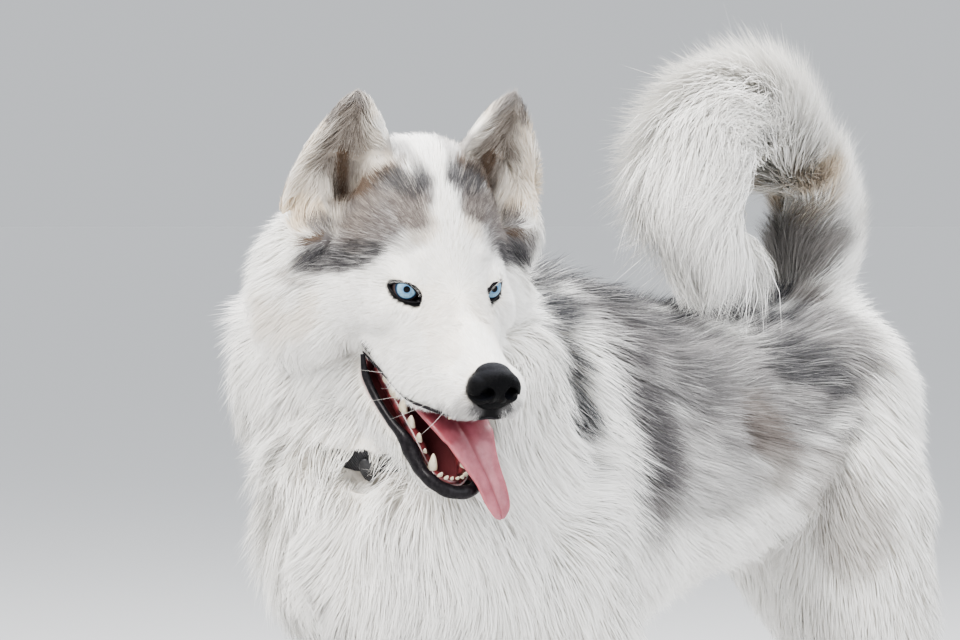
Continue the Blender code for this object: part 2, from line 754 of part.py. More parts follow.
def make_head(finishes):
    """Head and jaw from one fine skin, with the mouth, teeth, eyes, nose, ears and tongue."""
    hollows = [rowed_body(PALATE_ROWS, HEAD), rowed_body(MOUTH_FLOOR_ROWS, JAW)]
    hollows += mirrored([EYE_HOLLOW], HEAD)
    skin = fused(neck_masses() + head_masses(), HEAD_VOXEL, 5, HEAD_TRIANGLES, hollows)
    jaw = main_body(cut(skin.copy(), jaw_region(), operation="INTERSECT"))
    head = cut(parted(skin, *NECK_TOP)[0], grown(jaw_region()))
    pad = nose()
    head = cut(head, grown(pad))
    for name, side in (("left", 1), ("right", -1)):
        eyeball = ball((side * EYE_AT[0], EYE_AT[1], EYE_AT[2]), (EYE_RADIUS,) * 3, HEAD, 8)
        head = cut(head, grown(eyeball))
        show("eye_" + name, changed(eyeball), finishes["eye"])
    for name, side in (("left", 1), ("right", -1)):
        show("ear_" + name, cut(ear(side), grown(head)), finishes["coat"])
    show("nose", pad, finishes["leather"])
    upper = tooth_row(SKULL_ROWS, UPPER_CHEEK_TEETH, UPPER_INCISORS, UPPER_CANINE, HEAD, 1)
    lower = tooth_row(JAW_ROWS, LOWER_CHEEK_TEETH, LOWER_INCISORS, LOWER_CANINE, JAW, -1)
    head = cut(head, *[tooth.copy() for tooth in upper], operation="UNION")
    jaw = cut(cut(jaw, *lower, operation="UNION"), grown(head), collar_groove())
    show("head", head, finishes["coat"])
    show("jaw", jaw, finishes["coat"])
    show("tongue", main_body(cut(tongue(), grown(jaw), grown(head))), finishes["tongue"])


def collar_groove():
    """The room that the collar takes, with its clearance."""
    return ring_band(-GAP, COLLAR_THICK + GAP, COLLAR_WIDTH + 2 * GAP, collar_frame())


def make_collar(neck, finishes):
    """The collar, its tag, and the neck with the mane parted round them."""
    frame = collar_frame()
    band = ring_band(0, COLLAR_THICK, COLLAR_WIDTH, frame)
    show("collar", changed(band), finishes["leather"])
    out = Vector((math.cos(TAG_TURN), math.sin(TAG_TURN), 0))
    reach = Vector((COLLAR_RADII[0] * out.x, COLLAR_RADII[1] * out.y, 0)).length + COLLAR_THICK
    facing = frame @ Matrix.Rotation(TAG_TURN, 4, "Z")
    depth, width, height = TAG_NOTCH
    notch = block((reach - COLLAR_THICK / 2 + depth / 2, 0, -TAG_DROP), (depth, width, height))
    notch.transform(facing)
    outline = oval(TAG_WIDTH / 2, TAG_HEIGHT / 2 - TAG_DROP, -TAG_HEIGHT / 2 - TAG_DROP, sides=TAG_SIDES)
    faces = [[(reach + GAP + level, u, v) for u, v in outline] for level in (0, TAG_THICK)]
    tag = loft(faces)
    tag.transform(facing)
    worn = ("BEVEL", {"width": TAG_EDGE, "segments": 1, "affect": "EDGES", "limit_method": "ANGLE"})
    show("collar_tag", changed(tag, worn), finishes["steel"])
    return cut(neck, collar_groove(), notch)


def make_body(finishes):
    """Neck, trunk and legs from one skin, parted by flat cuts."""
    masses = [trunk_mass(), *neck_masses(), *head_masses(), *leg_masses()]
    skin = fused(masses, BODY_VOXEL, 5, BODY_TRIANGLES)
    skin = cut(skin, half_space((0, 0, 0), (0, 0, -1)))
    below = cut(parted(skin, *NECK_TOP)[1], grown(jaw_region()))
    neck, below = parted(below, *NECK_BASE)
    show("neck", make_collar(neck, finishes), finishes["coat"])
    for name, (stations, side) in LEGS.items():
        region = leg_region(name)
        leg = main_body(cut(below.copy(), region.copy(), operation="INTERSECT"))
        below = cut(below, grown(region))
        leg = cut(leg, *claws(stations, side), operation="UNION")
        show("leg_" + name, leg, finishes["coat"])
    show("trunk", below, finishes["coat"])
    brush = fused([limb(TAIL)], BODY_VOXEL, 3, TAIL_TRIANGLES)
    tail = cut(brush, grown(below), half_space((0, 0, TAIL_FOOT), (0, 0, -1)))
    show("tail", tail, finishes["coat"])


def centre_on_floor():
    """Move all parts so that the middle of their box is over the origin."""
    corners = [vert.co for item in PARTS.objects for vert in item.data.vertices]
    middle = [(min(c[i] for c in corners) + max(c[i] for c in corners)) / 2 for i in (0, 1)]
    shift = Matrix.Translation((-middle[0], -middle[1], 0))
    for item in PARTS.objects:
        item.data.transform(shift)
    print("moved by", [round(-m, 5) for m in middle])


def main():
    finishes = {
        "coat": material("white coat", (0.82, 0.80, 0.76), 0.8),
        "eye": material("eye", (0.30, 0.50, 0.70), 0.2),
        "leather": material("black leather", (0.03, 0.03, 0.035), 0.45),
        "tongue": material("tongue", (0.70, 0.28, 0.30), 0.35),
        "steel": material("dull steel", (0.20, 0.21, 0.22), 0.35),
    }
    make_head(finishes)
    make_body(finishes)
    centre_on_floor()


main()
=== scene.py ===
# %% [markdown]
# # A Siberian husky for a museum case
# The dog stands on four paws, its head turned to its left, panting, with its tail curled
# over its back. The CAD model gives the outline out to the tips of the coat. Here the dog
# gets a skin that lies under the coat, eyes, nose, mouth, and a coat of many thin tufts.
# The frame is loaded first, so that everything else is placed against the real solids.

# %% Load the CAD frame
import math

import bmesh
import bpy
import numpy as np
from mathutils import Matrix, Vector
from mathutils.bvhtree import BVHTree
from mathutils.kdtree import KDTree


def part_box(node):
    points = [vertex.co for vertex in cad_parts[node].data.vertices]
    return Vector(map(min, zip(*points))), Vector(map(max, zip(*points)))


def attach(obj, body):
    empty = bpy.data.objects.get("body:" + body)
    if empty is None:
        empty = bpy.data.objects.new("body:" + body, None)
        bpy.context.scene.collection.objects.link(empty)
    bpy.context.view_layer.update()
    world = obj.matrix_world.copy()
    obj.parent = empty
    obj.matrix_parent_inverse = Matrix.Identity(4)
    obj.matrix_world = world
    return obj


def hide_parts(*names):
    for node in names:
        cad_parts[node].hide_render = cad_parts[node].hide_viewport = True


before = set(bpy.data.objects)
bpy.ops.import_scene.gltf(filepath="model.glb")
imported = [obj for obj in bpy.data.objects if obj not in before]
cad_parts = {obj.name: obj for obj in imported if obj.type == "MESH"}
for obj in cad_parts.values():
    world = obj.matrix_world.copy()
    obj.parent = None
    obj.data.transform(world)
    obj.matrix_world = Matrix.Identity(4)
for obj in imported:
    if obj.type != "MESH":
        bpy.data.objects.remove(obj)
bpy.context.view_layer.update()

rng = np.random.default_rng(7)
print("CAD nodes:", len(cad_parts))

# %% [markdown]
# ## Two sets of directions
# A dog's body is described most easily along its own length, and a head along its muzzle.
# So body shapes are given in metres (left, rear, up), and head shapes in centimetres
# (left, forward, up) from a point between the eyes. The place of the head comes from the
# eyes of the CAD model, so both sets stay in step with the solids.

# %% Frames of the body, the head and the opened jaw
CM = 0.01
HEAD_TURN = math.radians(67.5)
HEAD_NOD = math.radians(23.5)
HEAD_AT = Vector((0.125, -0.292, 0.612))
EYE_AT = Vector((3.15, -0.75, -0.05))
EYE_RADIUS = 1.12
JAW_HINGE = (-6.5, -3.5)
GAPE = math.radians(25)


def box_middle(node):
    low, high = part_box(node)
    return (low + high) / 2


forward = Vector((
    math.sin(HEAD_TURN) * math.cos(HEAD_NOD),
    -math.cos(HEAD_TURN) * math.cos(HEAD_NOD),
    -math.sin(HEAD_NOD),
))
upward = Vector((
    math.sin(HEAD_TURN) * math.sin(HEAD_NOD),
    -math.cos(HEAD_TURN) * math.sin(HEAD_NOD),
    math.cos(HEAD_NOD),
))
leftward = upward.cross(forward)
HEAD_AXES = Matrix((leftward, forward, upward)).transposed()
eye_middle = (box_middle("eye_left") + box_middle("eye_right")) / 2
head_origin = eye_middle - HEAD_AXES @ Vector((0, EYE_AT.y, EYE_AT.z)) * CM
BODY = Matrix.Translation(head_origin - HEAD_AT)
HEAD = Matrix.Translation(head_origin) @ HEAD_AXES.to_4x4() @ Matrix.Scale(CM, 4)
hinge = Matrix.Translation((0, *JAW_HINGE))
JAW = HEAD @ hinge @ Matrix.Rotation(-GAPE, 4, "X") @ hinge.inverted()
print("body moved by", [round(c, 5) for c in BODY.translation])

# %% [markdown]
# ## Helpers for points
# The coat has some hundred thousand tufts, so points are kept in arrays and worked on all
# at once. A matrix moves them, and a smooth curve is drawn through a few stations.

# %% Points, curves and soft steps


def moved(points, matrix):
    points = np.asarray(points, float)
    turn = np.array(matrix.to_3x3())
    return points @ turn.T + np.array(matrix.translation)


def in_frame(points, matrix):
    return moved(points, matrix.inverted())


def unit(vectors):
    vectors = np.asarray(vectors, float)
    return vectors / np.maximum(np.linalg.norm(vectors, axis=-1, keepdims=True), 1e-9)


def flattened(ways, outs):
    """Directions pressed flat against a surface that faces outs."""
    return ways - outs * np.sum(ways * outs, 1, keepdims=True)


def smooth_rows(rows, steps=4, closed=False):
    """A smooth curve through rows of numbers, with so many steps between two rows."""
    rows = [np.asarray(row, float) for row in rows]
    if closed:
        ends = [rows[-1], *rows, rows[0], rows[1]]
    else:
        ends = [rows[0], *rows, rows[-1]]
    out = []
    for p, q, r, s in zip(ends, ends[1:], ends[2:], ends[3:]):
        for k in range(steps):
            t = k / steps
            out.append(0.5 * (2 * q + (r - p) * t + (2 * p - 5 * q + 4 * r - s) * t ** 2
                              + (3 * q - p - 3 * r + s) * t ** 3))
    if not closed:
        out.append(rows[-1])
    return np.array(out)


def soft_step(values, low, high):
    t = np.clip((np.asarray(values, float) - low) / (high - low), 0, 1)
    return t * t * (3 - 2 * t)


WAVES = np.random.default_rng(3).normal(size=(3, 6, 3))
PHASES = np.random.default_rng(4).uniform(0, 6.28, size=(3, 6))


def wander(points, size, channel=0):
    """Smooth random numbers from -1 to 1 that change over this distance."""
    total = 0
    for way, phase in zip(WAVES[channel], PHASES[channel]):
        total = total + np.sin(points @ (way / size) + phase)
    return total / 3


# %% [markdown]
# ## Masses of flesh
# A sculptor builds an animal from simple masses before any detail: balls, beads along the
# bones, and lofts. Each mass is set in by the depth of the coat there, then a voxel remesh
# grows them together into one closed skin, which leaves no seam between body and legs.

# %% Meshes from masses


def placed_object(name, data):
    """A new object in the scene that holds this data."""
    made = bpy.data.objects.new(name, data)
    bpy.context.scene.collection.objects.link(made)
    return made


def closed_mesh(name, points, faces):
    """A mesh whose faces all look outward."""
    made = bpy.data.meshes.new(name)
    made.from_pydata(points, [], faces)
    bm = bmesh.new()
    bm.from_mesh(made)
    bmesh.ops.recalc_face_normals(bm, faces=bm.faces)
    bm.to_mesh(made)
    bm.free()
    return made


def write(mesh, name, kind, values):
    """Store colours or directions on the corners of a mesh."""
    kept = mesh.attributes.new(name, kind, "POINT")
    what = "color" if kind == "FLOAT_COLOR" else "vector"
    kept.data.foreach_set(what, np.asarray(values, np.float32).ravel())


def ball_template(rings=14):
    bm = bmesh.new()
    bmesh.ops.create_uvsphere(bm, u_segments=2 * rings, v_segments=rings, radius=1)
    points = np.array([v.co for v in bm.verts])
    faces = [[v.index for v in f.verts] for f in bm.faces]
    bm.free()
    return points, faces


BALL_POINTS, BALL_FACES = ball_template()


class Masses:
    """Closed shapes that are collected and then grown together."""

    def __init__(self):
        self.points = []
        self.faces = []

    def add(self, points, faces, matrix):
        start = len(self.points)
        turned = matrix.determinant() < 0
        self.points.extend(moved(points, matrix).tolist())
        for face in faces:
            face = [start + i for i in face]
            self.faces.append(face[::-1] if turned else face)

    def ball(self, centre, radii, matrix):
        self.add(np.asarray(centre) + BALL_POINTS * np.asarray(radii), BALL_FACES, matrix)

    def beads(self, stations, matrix, steps=8):
        """Balls in a close row along stations of (x, y, z, radius)."""
        for x, y, z, radius in smooth_rows(stations, steps):
            self.ball((x, y, z), (radius,) * 3, matrix)

    def loft(self, rings, matrix):
        count = len(rings[0])
        faces = [list(range(count))[::-1]]
        for k in range(len(rings) - 1):
            for i in range(count):
                j = (i + 1) % count
                faces.append([k * count + i, k * count + j, (k + 1) * count + j, (k + 1) * count + i])
        faces.append([(len(rings) - 1) * count + i for i in range(count)])
        self.add(np.concatenate(rings), faces, matrix)

    def mesh(self, name):
        return closed_mesh(name, self.points, self.faces)


def oval(half_width, top, bottom, squareness, narrowing, sides=44, lower=None):
    """A rounded section, which may be squarer in its lower half."""
    angle = np.linspace(0, 2 * math.pi, sides, endpoint=False)
    power = np.where(np.sin(angle) < 0, 2 / (lower or squareness), 2 / squareness)
    across = np.sign(np.cos(angle)) * np.abs(np.cos(angle)) ** power
    up = np.sign(np.sin(angle)) * np.abs(np.sin(angle)) ** power
    taper = 1 - narrowing * (up + 1) / 2
    return across * half_width * taper, (top + bottom) / 2 + up * (top - bottom) / 2


def head_rings(rows, squareness=2.2, lower=None):
    """Rings from (forward, top, bottom, half width, narrowing, depth of the coat) rows."""
    rings = []
    for ahead, top, bottom, half_width, narrowing, depth in smooth_rows(rows):
        across, up = oval(half_width - depth, top - depth, bottom + depth, squareness, narrowing,
                          lower=lower)
        rings.append(np.stack([across, np.full_like(across, ahead), up], 1))
    return rings


def changed(mesh, *steps):
    """The mesh after modifiers, each given as (kind, settings)."""
    item = placed_object("work", mesh)
    for kind, settings in steps:
        step = item.modifiers.new(kind.lower(), kind)
        for key, value in settings.items():
            setattr(step, key, value)
    bpy.context.view_layer.update()
    made = bpy.data.meshes.new_from_object(item.evaluated_get(bpy.context.evaluated_depsgraph_get()))
    bpy.data.objects.remove(item)
    return made


def combined(mesh, others, operation):
    tools = [placed_object("tool", other) for other in others]
    made = changed(mesh, *[("BOOLEAN", {"operation": operation, "object": tool}) for tool in tools])
    for tool in tools:
        bpy.data.objects.remove(tool)
    return made


def grown_together(mesh, voxel, rounds):
    return changed(
        mesh,
        ("REMESH", {"mode": "VOXEL", "voxel_size": voxel}),
        ("SMOOTH", {"factor": 0.5, "iterations": rounds}),
    )


# %% [markdown]
# ## The head
# Under the short fur of the face lie a long tapering muzzle, a clear stop between the eyes,
# round cheeks and a broad skull. Rows along the muzzle give the outline and the depth of
# the coat at each place: a few millimetres on the nose, more on the cheeks.

# %% Masses of the head and of the open jaw
SKULL_ROWS = (          # forward, top, bottom, half width, narrowing of the top, coat
    (9.45, -3.0, -5.6, 1.5, 0.1, 0.12),
    (9.0, -2.2, -6.8, 2.4, 0.18, 0.15),
    (7.7, -1.6, -7.8, 3.0, 0.26, 0.17),
    (5.4, -0.9, -8.3, 3.55, 0.32, 0.18),
    (3.0, -0.2, -8.6, 4.25, 0.34, 0.2),
    (1.5, 0.8, -8.6, 4.85, 0.34, 0.22),
    (0.0, 2.4, -8.4, 5.3, 0.32, 0.26),
    (-2.0, 4.7, -7.8, 6.0, 0.28, 0.35),
    (-4.5, 6.9, -7.2, 7.2, 0.24, 0.5),
    (-7.5, 8.4, -7.6, 8.0, 0.22, 0.7),
    (-11.0, 7.9, -7.8, 8.0, 0.22, 1.1),
    (-13.5, 5.6, -6.6, 6.6, 0.2, 1.6),
)
LOWER_SQUARENESS = 3.0     # the lips hang, so the muzzle is squarer below
JAW_ROWS = (
    (8.9, -6.5, -7.2, 1.2, -0.1, 0.08),
    (8.3, -6.2, -7.8, 1.9, -0.1, 0.08),
    (7.0, -5.7, -8.2, 2.3, -0.05, 0.1),
    (5.5, -4.9, -8.45, 2.75, 0.0, 0.12),
    (3.8, -4.7, -8.8, 3.35, 0.0, 0.16),
    (2.0, -4.6, -9.2, 3.95, 0.0, 0.26),
    (0.4, -4.4, -9.8, 4.55, 0.0, 0.45),
    (-2.0, -3.8, -10.0, 5.0, 0.0, 0.7),
    (-5.0, -3.2, -10.0, 5.4, 0.0, 1.0),
)
HEAD_BALLS = (          # (left, forward, up), radii, coat; each is on both sides
    ((4.2, -2.2, -2.3), (1.9, 2.8, 2.3), 0.25),       # cheekbone
    ((5.4, -5.0, -2.6), (2.6, 3.6, 3.6), 0.45),       # cheek
    ((6.4, -7.0, -4.2), (3.0, 4.2, 4.6), 0.8),        # jaw muscle
    ((7.2, -10.0, -4.4), (4.2, 5.0, 6.6), 1.5),       # side of the ruff
    ((7.4, -9.0, 0.2), (2.4, 3.2, 3.6), 0.7),         # below the ear
    ((6.3, -9.9, 3.2), (2.9, 2.1, 3.4), 0.5),         # root of the ear
    ((1.9, -1.6, 1.7), (1.6, 1.7, 1.5), 0.3),        # brow
    ((2.2, 6.7, -4.6), (1.25, 2.3, 1.9), 0.2),        # whisker pad
)
MIDDLE_BALLS = (
    ((8.8, -9.2, 1.2), (2.4, 3.2, 3.6), 0.7),         # the ruff pushed up on the inner side
    ((0.0, -6.5, -8.4), (5.4, 4.6, 4.0), 1.0),        # throat
    ((0.0, -10.5, -9.0), (7.0, 6.0, 6.5), 1.6),
)
LIP_LINE = (            # outline of the open mouth from the side: (forward, up), from the nose
    (12.0, -5.3), (9.2, -5.75), (8.0, -5.95), (5.8, -6.4), (4.2, -6.75), (2.7, -6.8),
    (0.74, -6.36), (-0.6, -5.95), (-2.1, -5.7), (-1.95, -6.3), (-0.9, -7.6), (0.4, -8.55),
    (2.05, -9.3), (3.4, -9.85), (4.5, -10.85), (5.95, -11.7), (7.2, -12.1), (12.0, -12.6),
)
LIP_REACH = 9.0         # the cut goes right through both cheeks
PALATE_ROWS = (
    (8.3, -4.9, -8.0, 1.5, 0.3, 0.0),
    (6.3, -4.7, -9.0, 2.0, 0.3, 0.0),
    (4.2, -4.6, -9.0, 2.5, 0.3, 0.0),
    (2.0, -4.5, -9.0, 3.0, 0.3, 0.0),
    (0.0, -4.6, -8.8, 3.6, 0.3, 0.0),
    (-2.0, -5.0, -8.0, 3.4, 0.3, 0.0),
    (-5.5, -6.4, -7.8, 1.8, 0.3, 0.0),
)
MOUTH_FLOOR_ROWS = (
    (7.9, -3.0, -7.0, 1.4, -0.5, 0.0),
    (6.2, -2.6, -7.5, 2.0, -0.5, 0.0),
    (4.2, -2.6, -7.8, 2.6, -0.4, 0.0),
    (2.5, -3.0, -8.0, 3.1, -0.3, 0.0),
    (0.0, -3.1, -7.9, 3.7, -0.2, 0.0),
    (-2.0, -3.2, -7.6, 3.7, -0.1, 0.0),
    (-5.0, -4.2, -6.4, 1.8, 0.0, 0.0),
)
HEAD_VOXEL = 0.0021

flesh = Masses()
flesh.loft(head_rings(SKULL_ROWS, lower=LOWER_SQUARENESS), HEAD)
flesh.loft(head_rings(JAW_ROWS), JAW)
for side in (1, -1):
    for (left, ahead, up), radii, depth in HEAD_BALLS:
        flesh.ball((side * left, ahead, up), np.array(radii) - depth, HEAD)
for centre, radii, depth in MIDDLE_BALLS:
    flesh.ball(centre, np.array(radii) - depth, HEAD)
print("head masses:", len(flesh.faces), "faces")

# %% [markdown]
# ## The ears
# A husky's ears are medium, pricked and thick, with a cupped front. Each is a triangular
# sheet between an inner foot, an outer foot and a tip, bowed at its edges, bulging to the
# back, and given a thickness. They are part of the skin too.

# %% Ear sheets
EAR_TIP = (6.5, -7.9, 11.9)
EAR_INNER = (2.2, -7.6, 5.4)
EAR_OUTER = (10.0, -9.0, 1.6)
EAR_BOW = (0.75, 1.25)
EAR_CUP = 2.1
EAR_LEAN = 0.35
EAR_THICK = 0.52
EAR_TIP_WIDTH = 0.62           # half width at the tip's rounded end
EAR_ROUNDING = 0.9            # the tip rounds off from here up
EAR_SLIMMING = 0.82            # how fast the cup grows shallower toward the tip


def ear_sheet(side, rows=30, columns=22, press=0.0):
    """Rows of points of the ear's middle sheet, in the head's frame."""
    tip, inner, outer = (np.array([side * p[0], p[1], p[2]]) for p in (EAR_TIP, EAR_INNER, EAR_OUTER))
    back = unit([side * -EAR_LEAN, -1, 0.1])
    base = unit(outer - inner)
    sheet = np.zeros((rows, columns, 3))
    for i in range(rows):
        rise = 0.995 * i / (rows - 1)
        swell = math.sin(math.pi * min(1, rise * 1.05))
        width = (1 - rise) ** EAR_SLIMMING
        past = max(0.0, (rise - EAR_ROUNDING) / (1 - EAR_ROUNDING))
        rounding = math.sqrt(max(0.0, 1 - past ** 2))
        for j in range(columns):
            across = 2 * j / (columns - 1) - 1
            foot = inner + (outer - inner) * (0.5 + 0.5 * across)
            bow = EAR_BOW[1] if across > 0 else EAR_BOW[0]
            middle = inner + (outer - inner) * 0.5
            middle = middle + (tip - middle) * rise
            point = foot + (tip + base * across * EAR_TIP_WIDTH - foot) * rise
            point = point + base * across * swell * bow
            point = middle + (point - middle) * rounding
            sheet[i, j] = point + back * (EAR_CUP * (1 - across ** 2) * width + press)
    return sheet


def add_ear(masses, side):
    front = ear_sheet(side, press=-EAR_THICK / 2)
    rear = ear_sheet(side, press=EAR_THICK / 2)
    rows, columns = front.shape[:2]
    rings = [np.concatenate([front[i], rear[i][::-1]]) for i in range(rows)]
    masses.loft(rings, HEAD)


for side in (1, -1):
    add_ear(flesh, side)
mouth_hollows = Masses()
mouth_hollows.loft(head_rings(PALATE_ROWS), HEAD)
EAR_HOLLOW = (           # the cup in front of the ear, down to the canal
    (5.3, -8.7, 3.4, 0.75), (5.6, -8.3, 4.6, 1.15), (5.9, -7.9, 6.4, 1.3), (6.2, -7.5, 8.6, 1.0),
    (6.4, -7.2, 10.2, 0.6),
)
ear_hollows = Masses()
for side in (1, -1):
    ear_hollows.beads([(side * x, y, z, r) for x, y, z, r in EAR_HOLLOW], HEAD)
floor_hollow = Masses()
floor_hollow.loft(head_rings(MOUTH_FLOOR_ROWS), JAW)
lip_cut = Masses()
lip_curve = smooth_rows(LIP_LINE, 4)
lip_cut.loft([np.array([(reach, *spot) for spot in lip_curve]) for reach in (-LIP_REACH, LIP_REACH)], HEAD)

# %% [markdown]
# ## The eye sockets
# The opening between the lids is an almond, its outer corner higher and further back than
# the inner one. Its corners and its widest points are landmarks in the head's frame. The
# socket is an oval hollow as wide as the almond, so that the lids can sit on its rim.

# %% Landmarks of the eye
CANTHUS_OUT = Vector((4.6, -0.97, -0.06))
CANTHUS_IN = Vector((2.42, 0.9, -0.62))
LID_RIM = (             # round the opening: upper lid from the inner corner, then the lower
    CANTHUS_IN,
    Vector((2.93, 0.62, 0.14)),
    Vector((3.53, 0.3, 0.56)),
    Vector((4.18, -0.3, 0.42)),
    CANTHUS_OUT,
    Vector((4.28, -0.42, -0.5)),
    Vector((3.75, 0.1, -0.8)),
    Vector((3.1, 0.55, -0.84)),
)
GAZES = {1: Vector((0.12, 0.95, 0.18)), -1: Vector((-0.38, 0.9, 0.2))}      # left and right eye
EYE_PAD = (3.0, 2.0, 1.8)        # half width, half height and depth of the flesh round the eye
EYE_PAD_SHIFT = (0.18, -1.8)    # up and out from the middle of the lids
LID_SKIN = 1.31                  # how far from the middle of the ball the lids' skin lies
SOCKET_STEPS = ((-1.1, 0.75), (-0.3, 1.0), (1.3, 1.12))     # out from the lids' plane, scale


def mirror(vector, side):
    return Vector((side * vector[0], vector[1], vector[2]))


def eye_axes(side):
    """Directions across, up and out of the lids' opening, in the head's frame."""
    across = (mirror(CANTHUS_OUT, side) - mirror(CANTHUS_IN, side)).normalized()
    up = Vector((0, 0, 1))
    up = (up - across * up.dot(across)).normalized()
    out = across.cross(up)
    if out.y < 0:
        out = -out
    return across, up, out


def lids_middle(side):
    return (mirror(CANTHUS_OUT, side) + mirror(CANTHUS_IN, side)) / 2


def socket(side):
    middle = np.array(lids_middle(side))
    out = np.array(eye_axes(side)[2])
    rim = smooth_rows([mirror(p, side) for p in LID_RIM], 5, closed=True) - middle
    rim = rim - np.outer(rim @ out, out)
    made = Masses()
    made.loft([middle + rim * scale + out * rise for rise, scale in SOCKET_STEPS], HEAD)
    return made.mesh("socket")


for side in (1, -1):
    across, up, out = eye_axes(side)
    turn = Matrix((across, up, out)).transposed().to_4x4()
    flesh.ball((0, *EYE_PAD_SHIFT), EYE_PAD, HEAD @ Matrix.Translation(lids_middle(side)) @ turn)
    flesh.ball(mirror(EYE_AT, side), (LID_SKIN,) * 3, HEAD)
head_mesh = grown_together(flesh.mesh("head flesh"), HEAD_VOXEL, 2)
head_mesh = combined(
    head_mesh,
    [lip_cut.mesh("lip cut"), mouth_hollows.mesh("palate"), floor_hollow.mesh("mouth floor"),
     grown_together(ear_hollows.mesh("ear hollows"), HEAD_VOXEL, 1), socket(1), socket(-1)],
    "DIFFERENCE",
)
head_mesh = grown_together(head_mesh, HEAD_VOXEL, 4)
print("head skin:", len(head_mesh.polygons), "faces")

# %% [markdown]
# ## The body
# The trunk is a loft from breast to buttocks, the neck a few balls, and legs and tail are
# beads along their bones. The coat is deepest on the neck and the tail, and only a few
# millimetres deep on the feet.

# %% Masses of the body
TRUNK_ROWS = (           # rear, top, bottom, half width, coat
    (-0.285, 0.48, 0.37, 0.06, 0.02),
    (-0.262, 0.56, 0.325, 0.116, 0.026),
    (-0.215, 0.61, 0.295, 0.15, 0.028),
    (-0.145, 0.638, 0.288, 0.154, 0.028),
    (-0.08, 0.636, 0.3, 0.151, 0.026),
    (-0.02, 0.618, 0.322, 0.137, 0.023),
    (0.05, 0.6, 0.348, 0.13, 0.021),
    (0.12, 0.595, 0.368, 0.124, 0.02),
    (0.19, 0.596, 0.384, 0.124, 0.02),
    (0.255, 0.604, 0.388, 0.128, 0.02),
    (0.315, 0.6, 0.392, 0.116, 0.022),
    (0.35, 0.572, 0.396, 0.09, 0.022),
    (0.366, 0.515, 0.415, 0.052, 0.016),
)
NECK_BALLS = (
    ((0.0, -0.18, 0.5), (0.154, 0.115, 0.125), 0.024),
    ((0.0, -0.215, 0.48), (0.13, 0.098, 0.12), 0.023),
    ((-0.012, -0.208, 0.545), (0.164, 0.1, 0.108), 0.024),
    ((0.014, -0.225, 0.595), (0.112, 0.088, 0.088), 0.02),
)
FORE_LEG = (             # left, rear, up, radius, coat
    (0.086, -0.15, 0.4, 0.066, 0.016),
    (0.09, -0.105, 0.31, 0.054, 0.013),
    (0.086, -0.105, 0.23, 0.04, 0.009),
    (0.082, -0.112, 0.14, 0.031, 0.005),
    (0.082, -0.124, 0.075, 0.028, 0.004),
    (0.082, -0.142, 0.038, 0.031, 0.004),
)
HIND_LEG = (
    (0.062, 0.245, 0.5, 0.066, 0.018),
    (0.072, 0.25, 0.425, 0.079, 0.017),
    (0.084, 0.256, 0.355, 0.07, 0.015),
    (0.092, 0.268, 0.295, 0.055, 0.012),
    (0.092, 0.302, 0.22, 0.041, 0.009),
    (0.09, 0.345, 0.16, 0.031, 0.005),
    (0.089, 0.34, 0.09, 0.027, 0.004),
    (0.088, 0.322, 0.038, 0.03, 0.004),
)
HIND_LEG_BACK = (
    (0.062, 0.25, 0.5, 0.066, 0.018),
    (0.062, 0.306, 0.425, 0.072, 0.017),
    (0.058, 0.35, 0.365, 0.062, 0.015),
    (0.056, 0.39, 0.305, 0.05, 0.012),
    (0.062, 0.44, 0.225, 0.039, 0.009),
    (0.068, 0.486, 0.16, 0.031, 0.005),
    (0.07, 0.486, 0.09, 0.027, 0.004),
    (0.072, 0.47, 0.038, 0.03, 0.004),
)
TAIL = (
    (0.0, 0.27, 0.53, 0.04, 0.012),
    (0.0, 0.303, 0.62, 0.044, 0.02),
    (0.0, 0.3, 0.68, 0.048, 0.026),
    (0.004, 0.246, 0.728, 0.057, 0.034),
    (0.012, 0.195, 0.742, 0.068, 0.043),
    (0.025, 0.14, 0.73, 0.072, 0.047),
    (0.038, 0.1, 0.692, 0.072, 0.048),
    (0.048, 0.096, 0.655, 0.062, 0.044),
    (0.056, 0.125, 0.632, 0.036, 0.026),
)
LEGS = {
    "front_left": (FORE_LEG, 1),
    "front_right": (FORE_LEG, -1),
    "hind_left": (HIND_LEG, 1),
    "hind_right": (HIND_LEG_BACK, -1),
}
PAW_LENGTH = 0.098
PAW_WIDTH = 0.068
PAW_HEIGHT = 0.044
PAW_COAT = 0.003
PAW_CORE = (PAW_WIDTH * 0.43, PAW_LENGTH * 0.38, PAW_HEIGHT * 0.52)
TOE_CORE = (PAW_WIDTH * 0.155, PAW_LENGTH * 0.2, PAW_HEIGHT * 0.48)
TOES = ((-0.36, 0.24), (-0.13, 0.36), (0.13, 0.36), (0.36, 0.24))    # across, ahead
BODY_VOXEL = 0.0042


def inset(stations, side=1):
    """(x, y, z, radius) stations, set in by the coat and put on one side."""
    return [(side * x, y, z, radius - coat) for x, y, z, radius, coat in stations]


def paw_place(stations, side):
    """Left and rear of a paw, which stands under the end of its leg."""
    return side * stations[-1][0], stations[-1][1]


